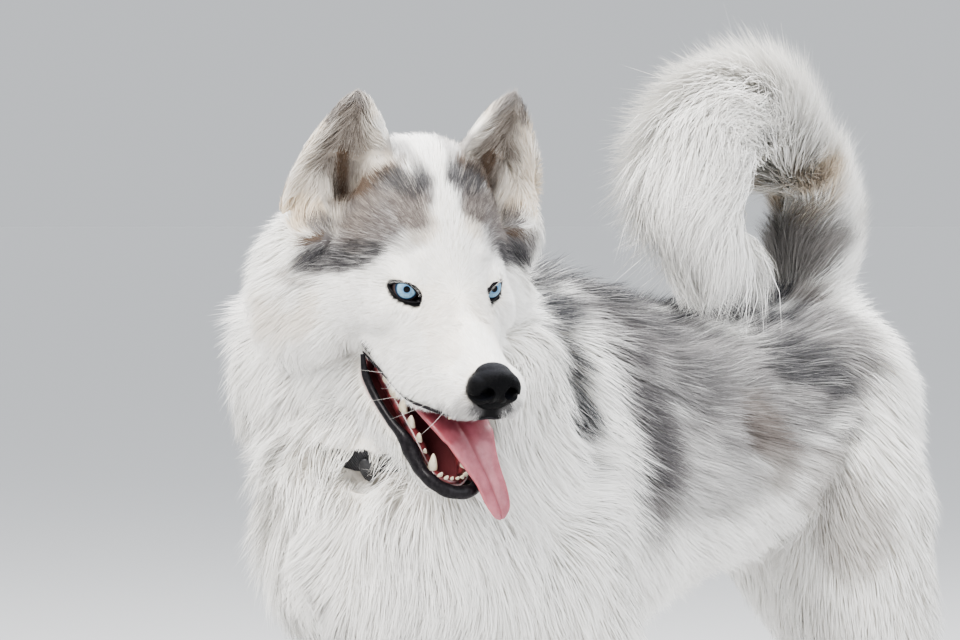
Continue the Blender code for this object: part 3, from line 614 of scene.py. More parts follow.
body = Masses()
rings = []
for rear, top, bottom, half_width, coat in smooth_rows(TRUNK_ROWS):
    across, up = oval(half_width - coat, top - coat, bottom + coat, 2.3, 0.12)
    rings.append(np.stack([across, np.full_like(across, rear), up], 1))
body.loft(rings, BODY)
for centre, radii, depth in NECK_BALLS:
    body.ball(centre, np.array(radii) - depth, BODY)
for stations, side in LEGS.values():
    body.beads(inset(stations, side), BODY)
    left, rear = paw_place(stations, side)
    body.ball((left, rear - 0.08 * PAW_LENGTH, PAW_HEIGHT * 0.5), PAW_CORE, BODY)
    for across, ahead in TOES:
        toe = (left + across * PAW_WIDTH, rear - ahead * PAW_LENGTH, PAW_HEIGHT * 0.42)
        body.ball(toe, np.array(TOE_CORE) - PAW_COAT / 2, BODY)
body.beads(inset(TAIL), BODY)
body_mesh = grown_together(body.mesh("body flesh"), BODY_VOXEL, 4)
print("body skin:", len(body_mesh.polygons), "faces")

# %% [markdown]
# ## One skin
# Head and body overlap deep inside the neck. An exact union makes them one closed skin, and
# whatever would reach below the floor is pressed flat, as a standing paw is.

# %% Join head and body
COLLAR_AT = (0.008, -0.2, 0.532)
COLLAR_UP = (0.15, -0.5, 0.85)
COLLAR_INSIDE = (0.0785, 0.0885)
SLOT_HALF = (0.0105, 0.02)        # half width of the furrow at the strap and outside
SLOT_TURNS = (-0.75, 0.35)         # from the tag, to its right and left
SLOT_STEPS = 26
SLOT_RISES = 5                     # balls from the strap out to the tips of the hair
TAG_ROOM = 0.019                   # radius of the parting before the tag
SMALLEST_EDGE = 1e-5
FLOOR_GAP = 0.0006                 # the soles are pressed flat this far above the floor
collar_turn = Vector(COLLAR_UP).normalized().to_track_quat("Z", "Y").to_matrix().to_4x4()
tag_at = box_middle("collar_tag")


def strap_slot():
    """A furrow at the throat, in which the strap shows between the hairs."""
    made = Masses()
    place = BODY @ Matrix.Translation(COLLAR_AT) @ collar_turn
    toward_tag = place.inverted() @ tag_at
    middle = math.atan2(toward_tag.y, toward_tag.x)
    for k in range(SLOT_STEPS):
        turn = middle + SLOT_TURNS[0] + (SLOT_TURNS[1] - SLOT_TURNS[0]) * k / (SLOT_STEPS - 1)
        for rise in range(SLOT_RISES):
            reach = 0.003 + 0.009 * rise
            across = (COLLAR_INSIDE[0] + reach) * math.cos(turn), (COLLAR_INSIDE[1] + reach) * math.sin(turn)
            made.ball((*across, -0.0008 * rise), (SLOT_HALF[0] + 0.0012 * rise,) * 3, place)
    made.ball(toward_tag, (TAG_ROOM,) * 3, place)
    return grown_together(made.mesh("strap slot"), BODY_VOXEL / 2, 2)


skin_mesh = combined(body_mesh, [head_mesh], "UNION")
skin_mesh = combined(skin_mesh, [strap_slot()], "DIFFERENCE")
bm = bmesh.new()
bm.from_mesh(skin_mesh)
bmesh.ops.dissolve_degenerate(bm, edges=bm.edges, dist=SMALLEST_EDGE)
for vert in bm.verts:
    vert.co.z = max(vert.co.z, FLOOR_GAP)
bm.to_mesh(skin_mesh)
bm.free()
skin_mesh.name = "skin"
skin = placed_object("skin", skin_mesh)
skin_mesh.shade_smooth()


def read(mesh, what):
    """Corner places or normals of a mesh as an array."""
    source = mesh.vertices if what == "co" else mesh.vertex_normals
    values = np.zeros(len(source) * 3, np.float32)
    source.foreach_get("co" if what == "co" else "vector", values)
    return values.reshape(-1, 3).astype(float)


skin_at = read(skin_mesh, "co")
skin_out = read(skin_mesh, "normal")
print("skin:", len(skin_mesh.vertices), "corners")

# %% [markdown]
# ## How the coat lies
# Hair grows away from the nose and the stop, back over the skull, down the neck and chest,
# back along the trunk, down the legs and along the tail. Each part has an axis of stations
# with a radius and a depth of coat. Near a part, hair follows its axis, or runs away from a
# point, and is pulled down by its weight. Where parts meet, their readings are blended.

# %% Axes of the coat


def both_sides(stations):
    return [[(side * x, y, z, r, c) for x, y, z, r, c in stations] for side in (1, -1)]


# name: (frame, lists of stations, point that hair runs away from, weight down,
#        cover, length for each depth, width against the usual)
COAT_AXES = {
    "muzzle": (HEAD, [[(0, 9.6, -3.8, 2.2, 0.15), (0, 6, -3.4, 3.0, 0.18), (0, 2.8, -3.0, 3.4, 0.2)]],
               (0, 11.0, -3.2), 0.05, 4.5, 2.2, 1.0),
    "jaw": (JAW, [[(0, 8.4, -7.6, 1.8, 0.1), (0, 4, -8.0, 2.6, 0.2), (0, 0, -8.0, 3.4, 0.5)]],
            (0, 10.5, -7.0), 0.15, 4.5, 2.2, 1.0),
    "face": (HEAD, [[(0, 1.6, 0, 3.6, 0.22), (0, -2.0, 1.5, 5.0, 0.35), (0, -6.5, 2.5, 6.4, 0.6),
                     (0, -12.5, 1.0, 6.5, 1.2)]],
             (0, 2.6, 1.3), 0.05, 5.0, 2.0, 1.0),
    "cheek": (HEAD, both_sides([(4.2, -0.5, -3.0, 2.2, 0.3), (5.2, -3.5, -3.2, 3.0, 0.5)]),
              (0, 3.6, 0.5), 0.2, 5.5, 2.0, 1.0),
    "ruff": (HEAD, both_sides([(6.2, -6.5, -4.2, 3.6, 0.9), (7.4, -10.5, -4.6, 4.8, 1.5)]),
             (0, 3.0, 0.0), 0.5, 7.5, 1.9, 1.0),
    "ear": (HEAD, both_sides([(6.3, -8.6, 3.7, 3.3, 0.25), (6.4, -8.4, 7.5, 2.4, 0.22),
                              (6.4, -7.9, 11.6, 1.0, 0.2)]),
            None, 0.0, 3.6, 2.2, 1.2),
    "throat": (HEAD, [[(0, -4, -8.5, 4.5, 0.9), (0, -9.5, -10.5, 6.5, 1.6)]], None, 0.7, 8.0, 1.8, 1.0),
    "neck": (BODY, [[(0.02, -0.225, 0.6, 0.1, 0.021), (0, -0.2, 0.53, 0.14, 0.024),
                     (0, -0.15, 0.47, 0.14, 0.024)]], None, 0.9, 9.0, 1.7, 1.0),
    "chest": (BODY, [[(0, -0.25, 0.48, 0.1, 0.028), (0, -0.25, 0.38, 0.11, 0.027),
                      (0, -0.23, 0.32, 0.09, 0.025)]], None, 0.6, 8.0, 1.7, 1.0),
    "trunk": (BODY, [[(0, -0.1, 0.48, 0.145, 0.027), (0, 0.0, 0.48, 0.13, 0.022),
                      (0, 0.2, 0.49, 0.118, 0.02), (0, 0.33, 0.49, 0.108, 0.021)]],
              None, 0.3, 7.0, 1.8, 1.0),
    "belly": (BODY, [[(0, -0.14, 0.34, 0.07, 0.025), (0, 0.04, 0.38, 0.07, 0.022),
                      (0, 0.18, 0.41, 0.07, 0.02)]], None, 0.55, 4.5, 1.7, 1.1),
    "legs": (BODY, [[(side * x, y, z, r, c) for x, y, z, r, c in stations]
                    for stations, side in LEGS.values()], None, 0.25, 4.2, 2.0, 1.7),
    "paws": (BODY, [[(side * st[-1][0], st[-1][1] + 0.01, 0.05, 0.034, 0.004),
                     (side * st[-1][0], st[-1][1] - 0.05, 0.02, 0.03, 0.003)]
                    for st, side in LEGS.values()], None, 0.15, 2.6, 2.2, 2.0),
    "tail": (BODY, [TAIL], None, 0.0, 30.0, 1.75, 0.85),
}


def along_axis(points, stations):
    """Nearness (distance over radius), direction, coat, radius and place along a row of stations."""
    count = len(points)
    near = np.full(count, 1e9)
    way = np.zeros((count, 3))
    coat = np.zeros(count)
    radius = np.ones(count)
    place = np.zeros(count)
    total = 0.0
    for a, b in zip(stations, stations[1:]):
        run = b[:3] - a[:3]
        length = np.linalg.norm(run)
        t = np.clip((points - a[:3]) @ run / length ** 2, 0, 1)
        r = a[3] + (b[3] - a[3]) * t
        distance = np.linalg.norm(points - a[:3] - t[:, None] * run, axis=1) / r
        closer = distance < near
        near[closer] = distance[closer]
        way[closer] = run / length
        coat[closer] = (a[4] + (b[4] - a[4]) * t)[closer]
        radius[closer] = r[closer]
        place[closer] = (total + t * length)[closer]
        total += length
    return near, way, coat, radius, place


def placed(line, matrix):
    """Stations of (x, y, z, radius, coat) moved from a frame to their place."""
    line = np.array(line, float)
    return np.hstack([moved(line[:, :3], matrix), line[:, 3:] * (1.0 if matrix is BODY else CM)])


DOWN = np.array([0, 0, -1.0])
COAT_SHARE = 5         # how sharply one part's lie gives way to the next
SWIRL = 0.5           # how far the lie of the mane wanders off its course
SWIRL_ELSEWHERE = 0.14
SWIRL_SIZE = 0.03
EYE_PARTING = 2.1      # hair turns away from the eye within this reach, cm
TURNED = 0.75          # share by which it turns
THINNED = 0.5          # share of its depth that it loses there


def read_lie(points, outs):
    """Direction of the coat at points of the skin, its depth, cover, slant and width, and the part."""
    ways, numbers, shares, owners = 0, 0, [], []
    for name, (matrix, lines, source, down, *looks) in COAT_AXES.items():
        for line in lines:
            stations = placed(line, matrix)
            near, way, coat, _, _ = along_axis(points, stations)
            if source is not None:
                way = unit(points - moved([source], matrix))
            share = 1 / (0.02 + near ** COAT_SHARE)
            lie = flattened(way + DOWN * down, outs)
            ways = ways + lie * share[:, None]
            row = np.stack([coat, *(np.full(len(points), value) for value in looks)], 1)
            numbers = numbers + row * share[:, None]
            shares.append(share)
            owners.append(name)
    shares = np.array(shares)
    depth, cover, slant, fineness = (numbers / shares.sum(0)[:, None]).T
    return unit(ways), depth, cover, slant, fineness, np.array(owners)[shares.argmax(0)]


lie, depth, cover, slant, fineness, owner = read_lie(skin_at, skin_out)
in_head = in_frame(skin_at, HEAD)
for side in (1, -1):
    eye = np.array(mirror(EYE_AT, side)) + np.array(eye_axes(side)[2]) * 1.0
    away = in_head - eye
    closeness = np.exp(-(np.linalg.norm(away, axis=1) / EYE_PARTING) ** 4)[:, None]
    away = unit(flattened(away @ np.array(HEAD.to_3x3().normalized()).T, skin_out))
    lie = unit(lie * (1 - TURNED * closeness) + away * TURNED * closeness)
    depth = depth * (1 - THINNED * closeness[:, 0])
swirl = flattened(np.stack([wander(skin_at, SWIRL_SIZE, k) for k in range(3)], 1), skin_out)
swirls = np.isin(owner, ("neck", "chest", "throat", "ruff"))[:, None]
lie = unit(lie + swirl * np.where(swirls, SWIRL, SWIRL_ELSEWHERE))
print("coat depth, mm:", round(depth.min() * 1000, 1), "to", round(depth.max() * 1000, 1))

# %% [markdown]
# ## Markings
# A grey and white husky: slate and charcoal hairs over the back and shoulders, grey-brown
# caps above the eyes that leave a white blaze, cream and brown at the feet of the ears, a
# dark root to the tail. Some strokes also paint shade: the band just behind the ruff holds the
# ruff's painted shadow on the trunk, and thin lines at the front foot of each ear hold painted
# shade in its crease. Each marking is a stroke of a soft brush over the skin: stations
# with a radius, mirrored to the other side. Skin and tufts read the same strokes.

# %% Strokes of the markings
# (channel, strength, frame, stations of (left, forward or rear, up, radius))
STROKES = (
    ("smoke", 0.95, HEAD, ((1.6, -4.4, 6.8, 0.9), (2.8, -3.8, 5.2, 1.7), (4.5, -3.8, 3.3, 2.2),
        (6.4, -4.9, 1.5, 2.2), (8.3, -6.4, 0.0, 1.5))),
    ("smoke", 0.6, HEAD, ((1.8, -6.0, 7.8, 0.8), (2.9, -8.6, 8.2, 1.5), (3.6, -12, 7.2, 2.0))),
    ("smoke", 0.9, HEAD, ((3.2, -5.6, 6.6, 1.2), (5.0, -6.1, 5.3, 1.5), (6.6, -6.4, 3.9, 1.4),
        (8.0, -7.0, 2.2, 1.1))),
    ("smoke", 0.45, HEAD, ((4.2, -3.2, 3.9, 2.8), (6.0, -4.4, 2.2, 2.4))),
    ("brown", 0.3, HEAD, ((2.6, -3.6, 5.0, 1.6), (5.0, -4.4, 3.6, 1.9), (6.8, -5.4, 2.0, 1.2))),
    ("cream", 0.45, HEAD, ((6.2, -8.5, 4.5, 4.0), (6.3, -8.0, 10.5, 2.4))),
    ("coal", 0.85, HEAD, ((0.0, 9.5, -4.9, 0.8), (0.9, 9.3, -4.9, 0.7), (1.5, 8.9, -5.1, 0.45),
        (2.7, 7.2, -5.9, 0.3))),
    ("smoke", 0.6, HEAD, ((0.0, 9.3, -5.0, 1.3), (1.5, 8.9, -5.0, 1.2), (2.6, 7.6, -5.7, 0.7))),
    ("coal", 0.78, HEAD, ((4.9, -3.0, 1.9, 0.6), (6.0, -4.0, 0.9, 1.0), (7.3, -5.4, 0.1, 1.1),
        (8.8, -6.6, -0.7, 0.7))),
    ("smoke", 0.85, HEAD, ((5.4, -4.2, 2.4, 1.5), (7.0, -5.6, 1.4, 1.5), (8.6, -6.6, 0.6, 1.0))),
    ("coal", 0.75, HEAD, ((1.5, -5.4, 7.5, 0.8), (2.2, -4.4, 6.5, 0.9), (3.6, -5.9, 6.5, 1.0))),
    # Thin brown and charcoal lines along the front foot of the ear: partly dark hair, partly painted shade in
    # the crease where ear meets head.
    ("brown", 0.85, HEAD, ((2.4, -6.5, 7.7, 0.5), (3.6, -6.6, 6.6, 0.6), (5.0, -6.9, 5.3, 0.6),
        (6.2, -7.2, 4.2, 0.5))),
    ("coal", 0.8, HEAD, ((3.0, -6.2, 7.0, 0.4), (4.4, -6.3, 5.8, 0.4))),
    # The same line along the outer foot of the ear: partly brown hair, partly painted shade in the crease.
    ("brown", 0.95, HEAD, ((6.6, -6.0, 2.4, 0.45), (8.2, -6.6, 1.3, 0.55), (9.6, -7.4, 0.5, 0.45))),
    ("smoke", 0.6, HEAD, ((5.6, -9.0, 3.8, 2.0), (5.9, -8.7, 6.6, 2.2), (6.3, -8.2, 9.8, 1.5))),
    ("brown", 0.45, HEAD, ((5.7, -9.0, 4.2, 1.7), (6.0, -8.7, 7.2, 1.9), (6.3, -8.1, 10.2, 1.2))),
    ("brown", 0.95, HEAD, ((5.3, -9.4, 3.0, 1.3), (5.6, -9.3, 4.8, 1.1), (5.9, -9.1, 6.8, 0.6))),
    ("smoke", 0.85, HEAD, ((4.5, -7.9, 9.0, 0.45), (6.3, -8.1, 11.8, 0.8), (7.7, -8.3, 9.6, 0.45))),
    ("cream", 0.8, HEAD, ((7.8, -7.8, 3.0, 0.9), (9.0, -8.2, 2.7, 1.3), (9.7, -9.0, 2.0, 1.0))),
    ("cream", 0.4, HEAD, ((2.9, -7.4, 6.6, 0.7), (4.6, -7.6, 9.0, 0.6), (5.8, -7.8, 11.2, 0.5))),
    ("cream", 0.35, HEAD, ((2.2, -2.2, 4.0, 1.2), (3.0, -5.0, 6.0, 1.2))),
    ("cream", 0.16, HEAD, ((2.0, 1.5, -0.5, 1.5), (2.6, 5.0, -2.0, 1.6))),
    ("brown", 0.55, HEAD, ((9.0, -6.0, -2.4, 0.4), (10.6, -7.8, -2.1, 0.45))),
    ("cream", 0.3, HEAD, ((7.5, -6.0, -4.5, 2.0), (9.0, -9.0, -6.5, 2.5))),
    ("coal", 1.0, BODY, ((0.05, -0.097, 0.632, 0.016), (0.085, -0.118, 0.602, 0.019),
        (0.118, -0.137, 0.57, 0.022), (0.14, -0.146, 0.53, 0.023), (0.15, -0.147, 0.484, 0.017))),
    # Grey band down the side just behind the ruff: partly grey hair, partly the painted shadow that the ruff
    # casts on the trunk.
    ("smoke", 0.95, BODY, ((0.08, -0.048, 0.605, 0.026), (0.11, -0.046, 0.575, 0.028),
        (0.132, -0.05, 0.51, 0.03), (0.142, -0.056, 0.44, 0.026), (0.14, -0.064, 0.39, 0.018))),
    # Its charcoal core: partly dark hair, partly painted shadow of the ruff.
    ("coal", 0.6, BODY, ((0.105, -0.048, 0.58, 0.016), (0.13, -0.052, 0.52, 0.018),
        (0.14, -0.06, 0.46, 0.014))),
    ("coal", 1.0, BODY, ((0.0, -0.09, 0.63, 0.04), (0.0, -0.02, 0.615, 0.07), (0.0, 0.1, 0.605, 0.075),
        (0.0, 0.18, 0.6, 0.062), (0.0, 0.225, 0.6, 0.036))),
    ("smoke", 0.85, BODY, ((0.07, -0.03, 0.58, 0.05), (0.1, 0.05, 0.54, 0.07), (0.11, 0.15, 0.53, 0.066),
        (0.09, 0.24, 0.57, 0.05))),
    ("smoke", 0.55, BODY, ((0.125, -0.01, 0.47, 0.045), (0.118, 0.06, 0.47, 0.045))),
    ("smoke", 0.75, BODY, ((0.08, -0.05, 0.6, 0.045), (0.105, -0.03, 0.56, 0.055),
        (0.115, 0.03, 0.53, 0.06), (0.115, 0.1, 0.515, 0.058), (0.11, 0.17, 0.53, 0.045))),
    ("coal", 0.8, BODY, ((0.1, 0.15, 0.555, 0.03), (0.104, 0.19, 0.545, 0.032))),
    ("coal", 0.5, BODY, ((0.118, -0.02, 0.53, 0.026), (0.118, 0.05, 0.545, 0.028))),
    ("coal", 0.7, BODY, ((0.06, -0.05, 0.615, 0.035), (0.075, 0.03, 0.605, 0.04),
        (0.07, 0.11, 0.6, 0.035))),
    ("brown", 0.5, BODY, ((0.112, 0.09, 0.5, 0.022), (0.12, 0.115, 0.455, 0.024))),
    ("brown", 0.45, BODY, ((0.11, 0.17, 0.445, 0.032), (0.125, 0.2, 0.4, 0.035))),
    ("smoke", 0.45, BODY, ((0.02, -0.15, 0.64, 0.05), (0.03, -0.19, 0.66, 0.05))),
    ("coal", 0.5, BODY, ((0.0, 0.27, 0.6, 0.038), (0.01, 0.272, 0.632, 0.036),
        (0.02, 0.268, 0.655, 0.028))),
    ("brown", 0.6, BODY, ((0.015, 0.262, 0.615, 0.034), (0.03, 0.255, 0.665, 0.028))),
    ("cream", 0.7, BODY, ((0.03, 0.27, 0.69, 0.026), (0.035, 0.215, 0.705, 0.026),
        (0.04, 0.17, 0.7, 0.024))),
)
INK = ("coal", "smoke", "cream", "brown")
TAIL_MARKED = (0.2, 0.26)      # metres along the tail over which its markings end
BRUSH_EDGE = (0.7, 1.3)       # a stroke fades out between these shares of its radius
BRUSH_WANDER = 0.22             # how far its edge wanders, in radii


def read_marks(points, on_tail):
    """Strength of each ink at points, from 0 to 1; the brush of the tail is white."""
    marks = {name: np.zeros(len(points)) for name in INK}
    for name, strength, matrix, stations in STROKES:
        scale = CM if matrix is HEAD else 1.0
        for side in (1, -1):
            line = np.array(stations, float)
            line[:, 0] *= side
            line = smooth_rows(line, 3)
            place = np.hstack([moved(line[:, :3], matrix), line[:, 3:] * scale, line[:, 3:]])
            near = along_axis(points, place)[0]
            near = near + BRUSH_WANDER * wander(points, 0.006, 1) + BRUSH_WANDER * wander(points, 0.02, 2)
            mark = strength * (1 - soft_step(near, *BRUSH_EDGE))
            marks[name] = np.maximum(marks[name], mark)
    along = along_axis(points, placed(TAIL, BODY))[4]
    kept = 1 - on_tail * soft_step(along, *TAIL_MARKED)
    return np.stack([marks[name] for name in INK], 1) * kept[:, None]


marks = read_marks(skin_at, owner == "tail")

# %% [markdown]
# ## Bare and wet places
# Round the nose, on the lips, inside the mouth and under the feet there is no hair. These
# places are told from their position, and the skin carries them as masks, both to colour
# them and to keep tufts off.

# %% Masks of the bare skin
UPPER_LIP = (               # edge of the lips on the right side, from the corner to the middle
    (-5.05, -1.95, -5.78), (-4.75, -0.6, -6.02), (-4.35, 0.74, -6.36), (-3.9, 2.7, -6.8),
    (-3.62, 4.2, -6.75), (-3.25, 5.8, -6.42), (-2.75, 7.4, -6.08), (-1.75, 8.6, -5.82),
    (-0.7, 9.22, -5.66), (0.0, 9.34, -5.55),
)
LOWER_LIP = (
    (-5.05, -1.9, -5.95), (-5.0, -1.35, -6.85), (-4.75, -0.7, -7.7), (-4.35, 0.5, -8.6),
    (-3.9, 2.05, -9.35), (-3.35, 3.45, -9.95), (-2.85, 4.3, -10.85), (-2.5, 5.3, -11.6),
    (-2.0, 6.3, -12.05), (-1.1, 7.15, -12.4), (0.0, 7.4, -12.5),
)
NOSE_AT = (0.0, 9.2, -3.2)
NOSE_SIZE = (1.95, 1.15, 1.42)
NOSE_MARGIN = 0.12
EYE_RING = (1.72, 0.82, 2.0)     # black skin round the lids: across, up and out
EYE_RING_EDGE = (0.84, 0.98)
LIP_REACHES = ((UPPER_LIP, 0.28), (LOWER_LIP, 1.0))
LIP_FADE = 0.22
SOLE_TOP = 0.006


def within(rows, matrix, margin=0.0):
    """How far points of the skin lie inside a body of rows: 1 inside, 0 outside."""
    here = in_frame(skin_at, matrix)
    line = smooth_rows(sorted(rows))
    top, bottom, width = (np.interp(here[:, 1], line[:, 0], line[:, k]) for k in (1, 2, 3))
    across = np.abs(here[:, 0]) / (width + margin)
    level = np.abs(here[:, 2] - (top + bottom) / 2) / ((top - bottom) / 2 + margin)
    inside = (across ** 2.2 + level ** 2.2) ** (1 / 2.2)
    ahead = (here[:, 1] > line[0, 0] - margin) & (here[:, 1] < line[-1, 0] + margin)
    return np.where(ahead, 1 - soft_step(inside, 1.0, 1.12), 0.0)


mouth = np.maximum(within(PALATE_ROWS, HEAD, 0.2), within(MOUTH_FLOOR_ROWS, JAW, 0.42))
nose_gap = np.linalg.norm((in_head - NOSE_AT) / (np.array(NOSE_SIZE) + NOSE_MARGIN), axis=1)
lip_front = (1 - soft_step(np.abs(in_head[:, 0]), 0.3, 1.1)) * soft_step(in_head[:, 1], 7.9, 8.6)
lip_front = lip_front * (1 - soft_step(in_head[:, 2], -4.5, -4.1)) * soft_step(in_head[:, 2], -6.6, -6.2)
in_jaw = in_frame(skin_at, JAW)
jaw_rim = soft_step(in_jaw[:, 2], -7.15, -6.85) * soft_step(in_jaw[:, 1], 4.6, 5.6)
jaw_rim = jaw_rim * (in_head[:, 2] < -7.5)
black = np.maximum(np.maximum(1 - soft_step(nose_gap, 1.0, 1.12), lip_front), jaw_rim)
for rows, reach in LIP_REACHES:
    for side in (-1, 1):
        curve = smooth_rows(rows, 6) * (-side, 1, 1)
        gap = np.full(len(in_head), 9.0)
        for p, q in zip(curve, curve[1:]):
            t = np.clip((in_head - p) @ (q - p) / ((q - p) @ (q - p)), 0, 1)
            spot = in_head - p - t[:, None] * (q - p)
            outside = np.maximum(spot[:, 0] * side, 0)
            gap = np.minimum(gap, np.sqrt((spot ** 2).sum(1) + 6 * outside ** 2))
        black = np.maximum(black, 1 - soft_step(gap, reach, reach + LIP_FADE))
for side in (1, -1):
    across, up, out = (np.array(v) for v in eye_axes(side))
    spot = in_head - (np.array(mirror(CANTHUS_OUT, side)) + np.array(mirror(CANTHUS_IN, side))) / 2
    spot = spot - up * 0.05
    ring = sum((spot @ way / size) ** 2 for way, size in zip((across, up, out), EYE_RING))
    black = np.maximum(black, 1 - soft_step(np.sqrt(ring), *EYE_RING_EDGE))
sole = (skin_at[:, 2] < SOLE_TOP) & (skin_out[:, 2] < -0.3)
collar_place = BODY @ Matrix.Translation(COLLAR_AT) @ collar_turn
collar_middle = np.array(collar_place.translation)
collar_way = np.array(collar_place.to_3x3().col[2])
from_collar = (skin_at - collar_middle) @ collar_way
beside = np.linalg.norm(skin_at - collar_middle - np.outer(from_collar, collar_way), axis=1)
under_strap = (np.abs(from_collar) < SLOT_HALF[1]) & (beside < COLLAR_INSIDE[1] + 0.004)
bare = np.clip(mouth + black + sole + under_strap, 0, 1)
print("bare corners:", int((bare > 0.5).sum()))

# %% [markdown]
# ## Room for the coat
# The solids end where the hair tips end. From each corner of the skin a ray runs outward
# through the solids of the flesh until it leaves them, and that is the depth of the coat
# there. Solids that touch each other count as one. Averaging with the neighbours evens out
# their facets.

# %% Depth of the coat, measured to the solids
FLESH_NODES = (
    "head", "jaw", "ear_left", "ear_right", "neck", "trunk", "tail",
    "leg_front_left", "leg_front_right", "leg_hind_left", "leg_hind_right",
)
FARTHEST = 0.075
TOUCHING = 0.0015
STEP_ON = 1e-5                 # a ray starts again this far past the face that it met
SHORTEST, LONGEST = 0.0016, 0.058
EAR_COAT = 0.0045
EAR_LINING, EAR_FRINGE = 0.005, 0.0065     # inside the ear, and more of it at the edge
FILL_THE_CURL = 0.7            # the coat inside the tail's curl is the longest: it closes the ring

skin_mesh.calc_loop_triangles()
triangles = np.zeros(len(skin_mesh.loop_triangles) * 3, np.int32)
skin_mesh.loop_triangles.foreach_get("vertices", triangles)
triangles = triangles.reshape(-1, 3)
edges = np.zeros(len(skin_mesh.edges) * 2, np.int32)
skin_mesh.edges.foreach_get("vertices", edges)
edges = edges.reshape(-1, 2)
links = np.bincount(edges.ravel(), minlength=len(skin_at))


def spread(values, rounds):
    """Values at the skin's corners, averaged with their neighbours this many times."""
    flat = np.array(values, float).reshape(len(values), -1)
    for _ in range(rounds):
        total = flat.copy()
        for a, b in ((0, 1), (1, 0)):
            for k in range(flat.shape[1]):
                total[:, k] += np.bincount(edges[:, a], flat[edges[:, b], k], len(flat))
        flat = total / (links + 1)[:, None]
    return flat.reshape(np.shape(values))


def solid_tree(names):
    points, faces = [], []
    for name in names:
        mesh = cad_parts[name].data
        start = len(points)
        points.extend(v.co.copy() for v in mesh.vertices)
        faces.extend([start + i for i in f.vertices] for f in mesh.polygons)
    return BVHTree.FromPolygons(points, faces)


def room_outside(points, outs, tree):
    room = np.zeros(len(points))
    for k in range(len(points)):
        way = Vector(outs[k])
        spot = Vector(points[k])
        gone = 0.0
        while gone < FARTHEST:
            hit, normal, _, distance = tree.ray_cast(spot, way, FARTHEST - gone)
            if hit is None:
                break
            gone += distance + STEP_ON
            if normal.dot(way) > 0:
                room[k] = gone
            elif gone - room[k] > TOUCHING:
                break
            spot = hit + way * STEP_ON
    return room


room = room_outside(skin_at, skin_out, solid_tree(FLESH_NODES))
room = spread(np.minimum(room, depth * 1.6 + 0.002), 6)
depth = np.clip(0.35 * depth + 0.65 * room, SHORTEST, LONGEST)
depth = np.where(owner == "ear", np.minimum(depth, EAR_COAT), depth)
depth = spread(depth, 4)
to_curl = skin_at[owner == "tail"].mean(axis=0) - skin_at
to_curl = to_curl / np.linalg.norm(to_curl, axis=1, keepdims=True)
into_curl = soft_step((skin_out * to_curl).sum(axis=1), 0.2, 0.7) * (owner == "tail")
depth = depth * (1 + FILL_THE_CURL * spread(into_curl, 4))
ear_x = np.abs(in_head[:, 0])
ear_rise = np.clip((in_head[:, 2] - EAR_OUTER[2]) / (EAR_TIP[2] - EAR_OUTER[2]), 0, 1)
ear_inner = EAR_INNER[0] + (EAR_TIP[0] - EAR_INNER[0]) * np.clip((in_head[:, 2] - 5.4) / 6.5, 0, 1)
ear_outer = EAR_OUTER[0] + (EAR_TIP[0] - EAR_OUTER[0]) * ear_rise
ear_across = (ear_x - (ear_inner + ear_outer) / 2) / np.maximum((ear_outer - ear_inner) / 2, 0.5)
head_turn = np.array(HEAD.to_3x3().normalized())
out_in_head = skin_out @ head_turn
facing = out_in_head[:, 1] + EAR_LEAN * out_in_head[:, 0] * np.sign(in_head[:, 0]) - 0.1 * out_in_head[:, 2]
ear_inside = (owner == "ear") * soft_step(facing, 0.15, 0.45)
at_edge = soft_step(np.abs(ear_across), 0.35, 0.85)
ear_coat = EAR_LINING + EAR_FRINGE * at_edge * (1 - 0.6 * ear_rise)
depth = depth * (1 - ear_inside) + ear_inside * ear_coat
inward = np.stack([-np.sign(in_head[:, 0] * ear_across), np.zeros(len(ear_x)), np.full(len(ear_x), 1.1)], 1)
inward = unit(flattened(inward @ head_turn.T, skin_out))
bend = (ear_inside * at_edge * 0.75)[:, None]
lie = unit(lie * (1 - bend) + inward * bend)
print("coat depth, mm:", round(depth.min() * 1000, 1), "to", round(depth.max() * 1000, 1))

# %% [markdown]
# ## Where the tips land
# A tuft leaves the skin at a slant, then lies along the coat. Its tip ends above a place
# further along the skin, at the depth of the coat there, so tufts follow every curve of the
# body and their tips together make the outline.

# %% Length of the tufts and the place of their tips
LENGTH_LEAST = 0.003

length = slant * depth + LENGTH_LEAST
skin_tree = BVHTree.FromPolygons(skin_at.tolist(), triangles.tolist())
lie = unit(spread(lie, 3))
tip_at = np.zeros_like(skin_at)
tip_out = np.zeros_like(skin_at)
along_skin = np.sqrt(np.maximum(length ** 2 - (0.95 * depth) ** 2, 0))
ahead_of_root = skin_at + lie * along_skin[:, None]
for k in range(len(skin_at)):
    hit, _, face, _ = skin_tree.find_nearest(Vector(ahead_of_root[k]))
    corners = triangles[face]
    tip_out[k] = skin_out[corners].mean(0)
    tip_at[k] = np.array(hit) + tip_out[k] * depth[corners].mean() * 0.95
landing = spread(tip_at - skin_at, 5)
tip_out = unit(spread(tip_out, 3))
print("tufts are", round(length.min() * 1000, 1), "to", round(length.max() * 1000, 1), "mm long")

# %% [markdown]
# ## Roots
# Roots are strewn over the skin by its area, closer together where tufts are small, so that
# every part is covered by about as many layers. The whole coat keeps to a budget of
# triangles. Values between corners of the skin are mixed by the place in the triangle.

# %% Strew the roots
COAT_BUDGET = 1_420_000
LONG_TUFT = 0.016          # tufts longer than this get one bend more
WIDTH_LEAST = 0.0003
WIDTH_PER_LENGTH = 0.0072
LONG_BENDS = np.array([0.0, 0.36, 0.7, 1.0])
SHORT_BENDS = np.array([0.0, 0.55, 1.0])

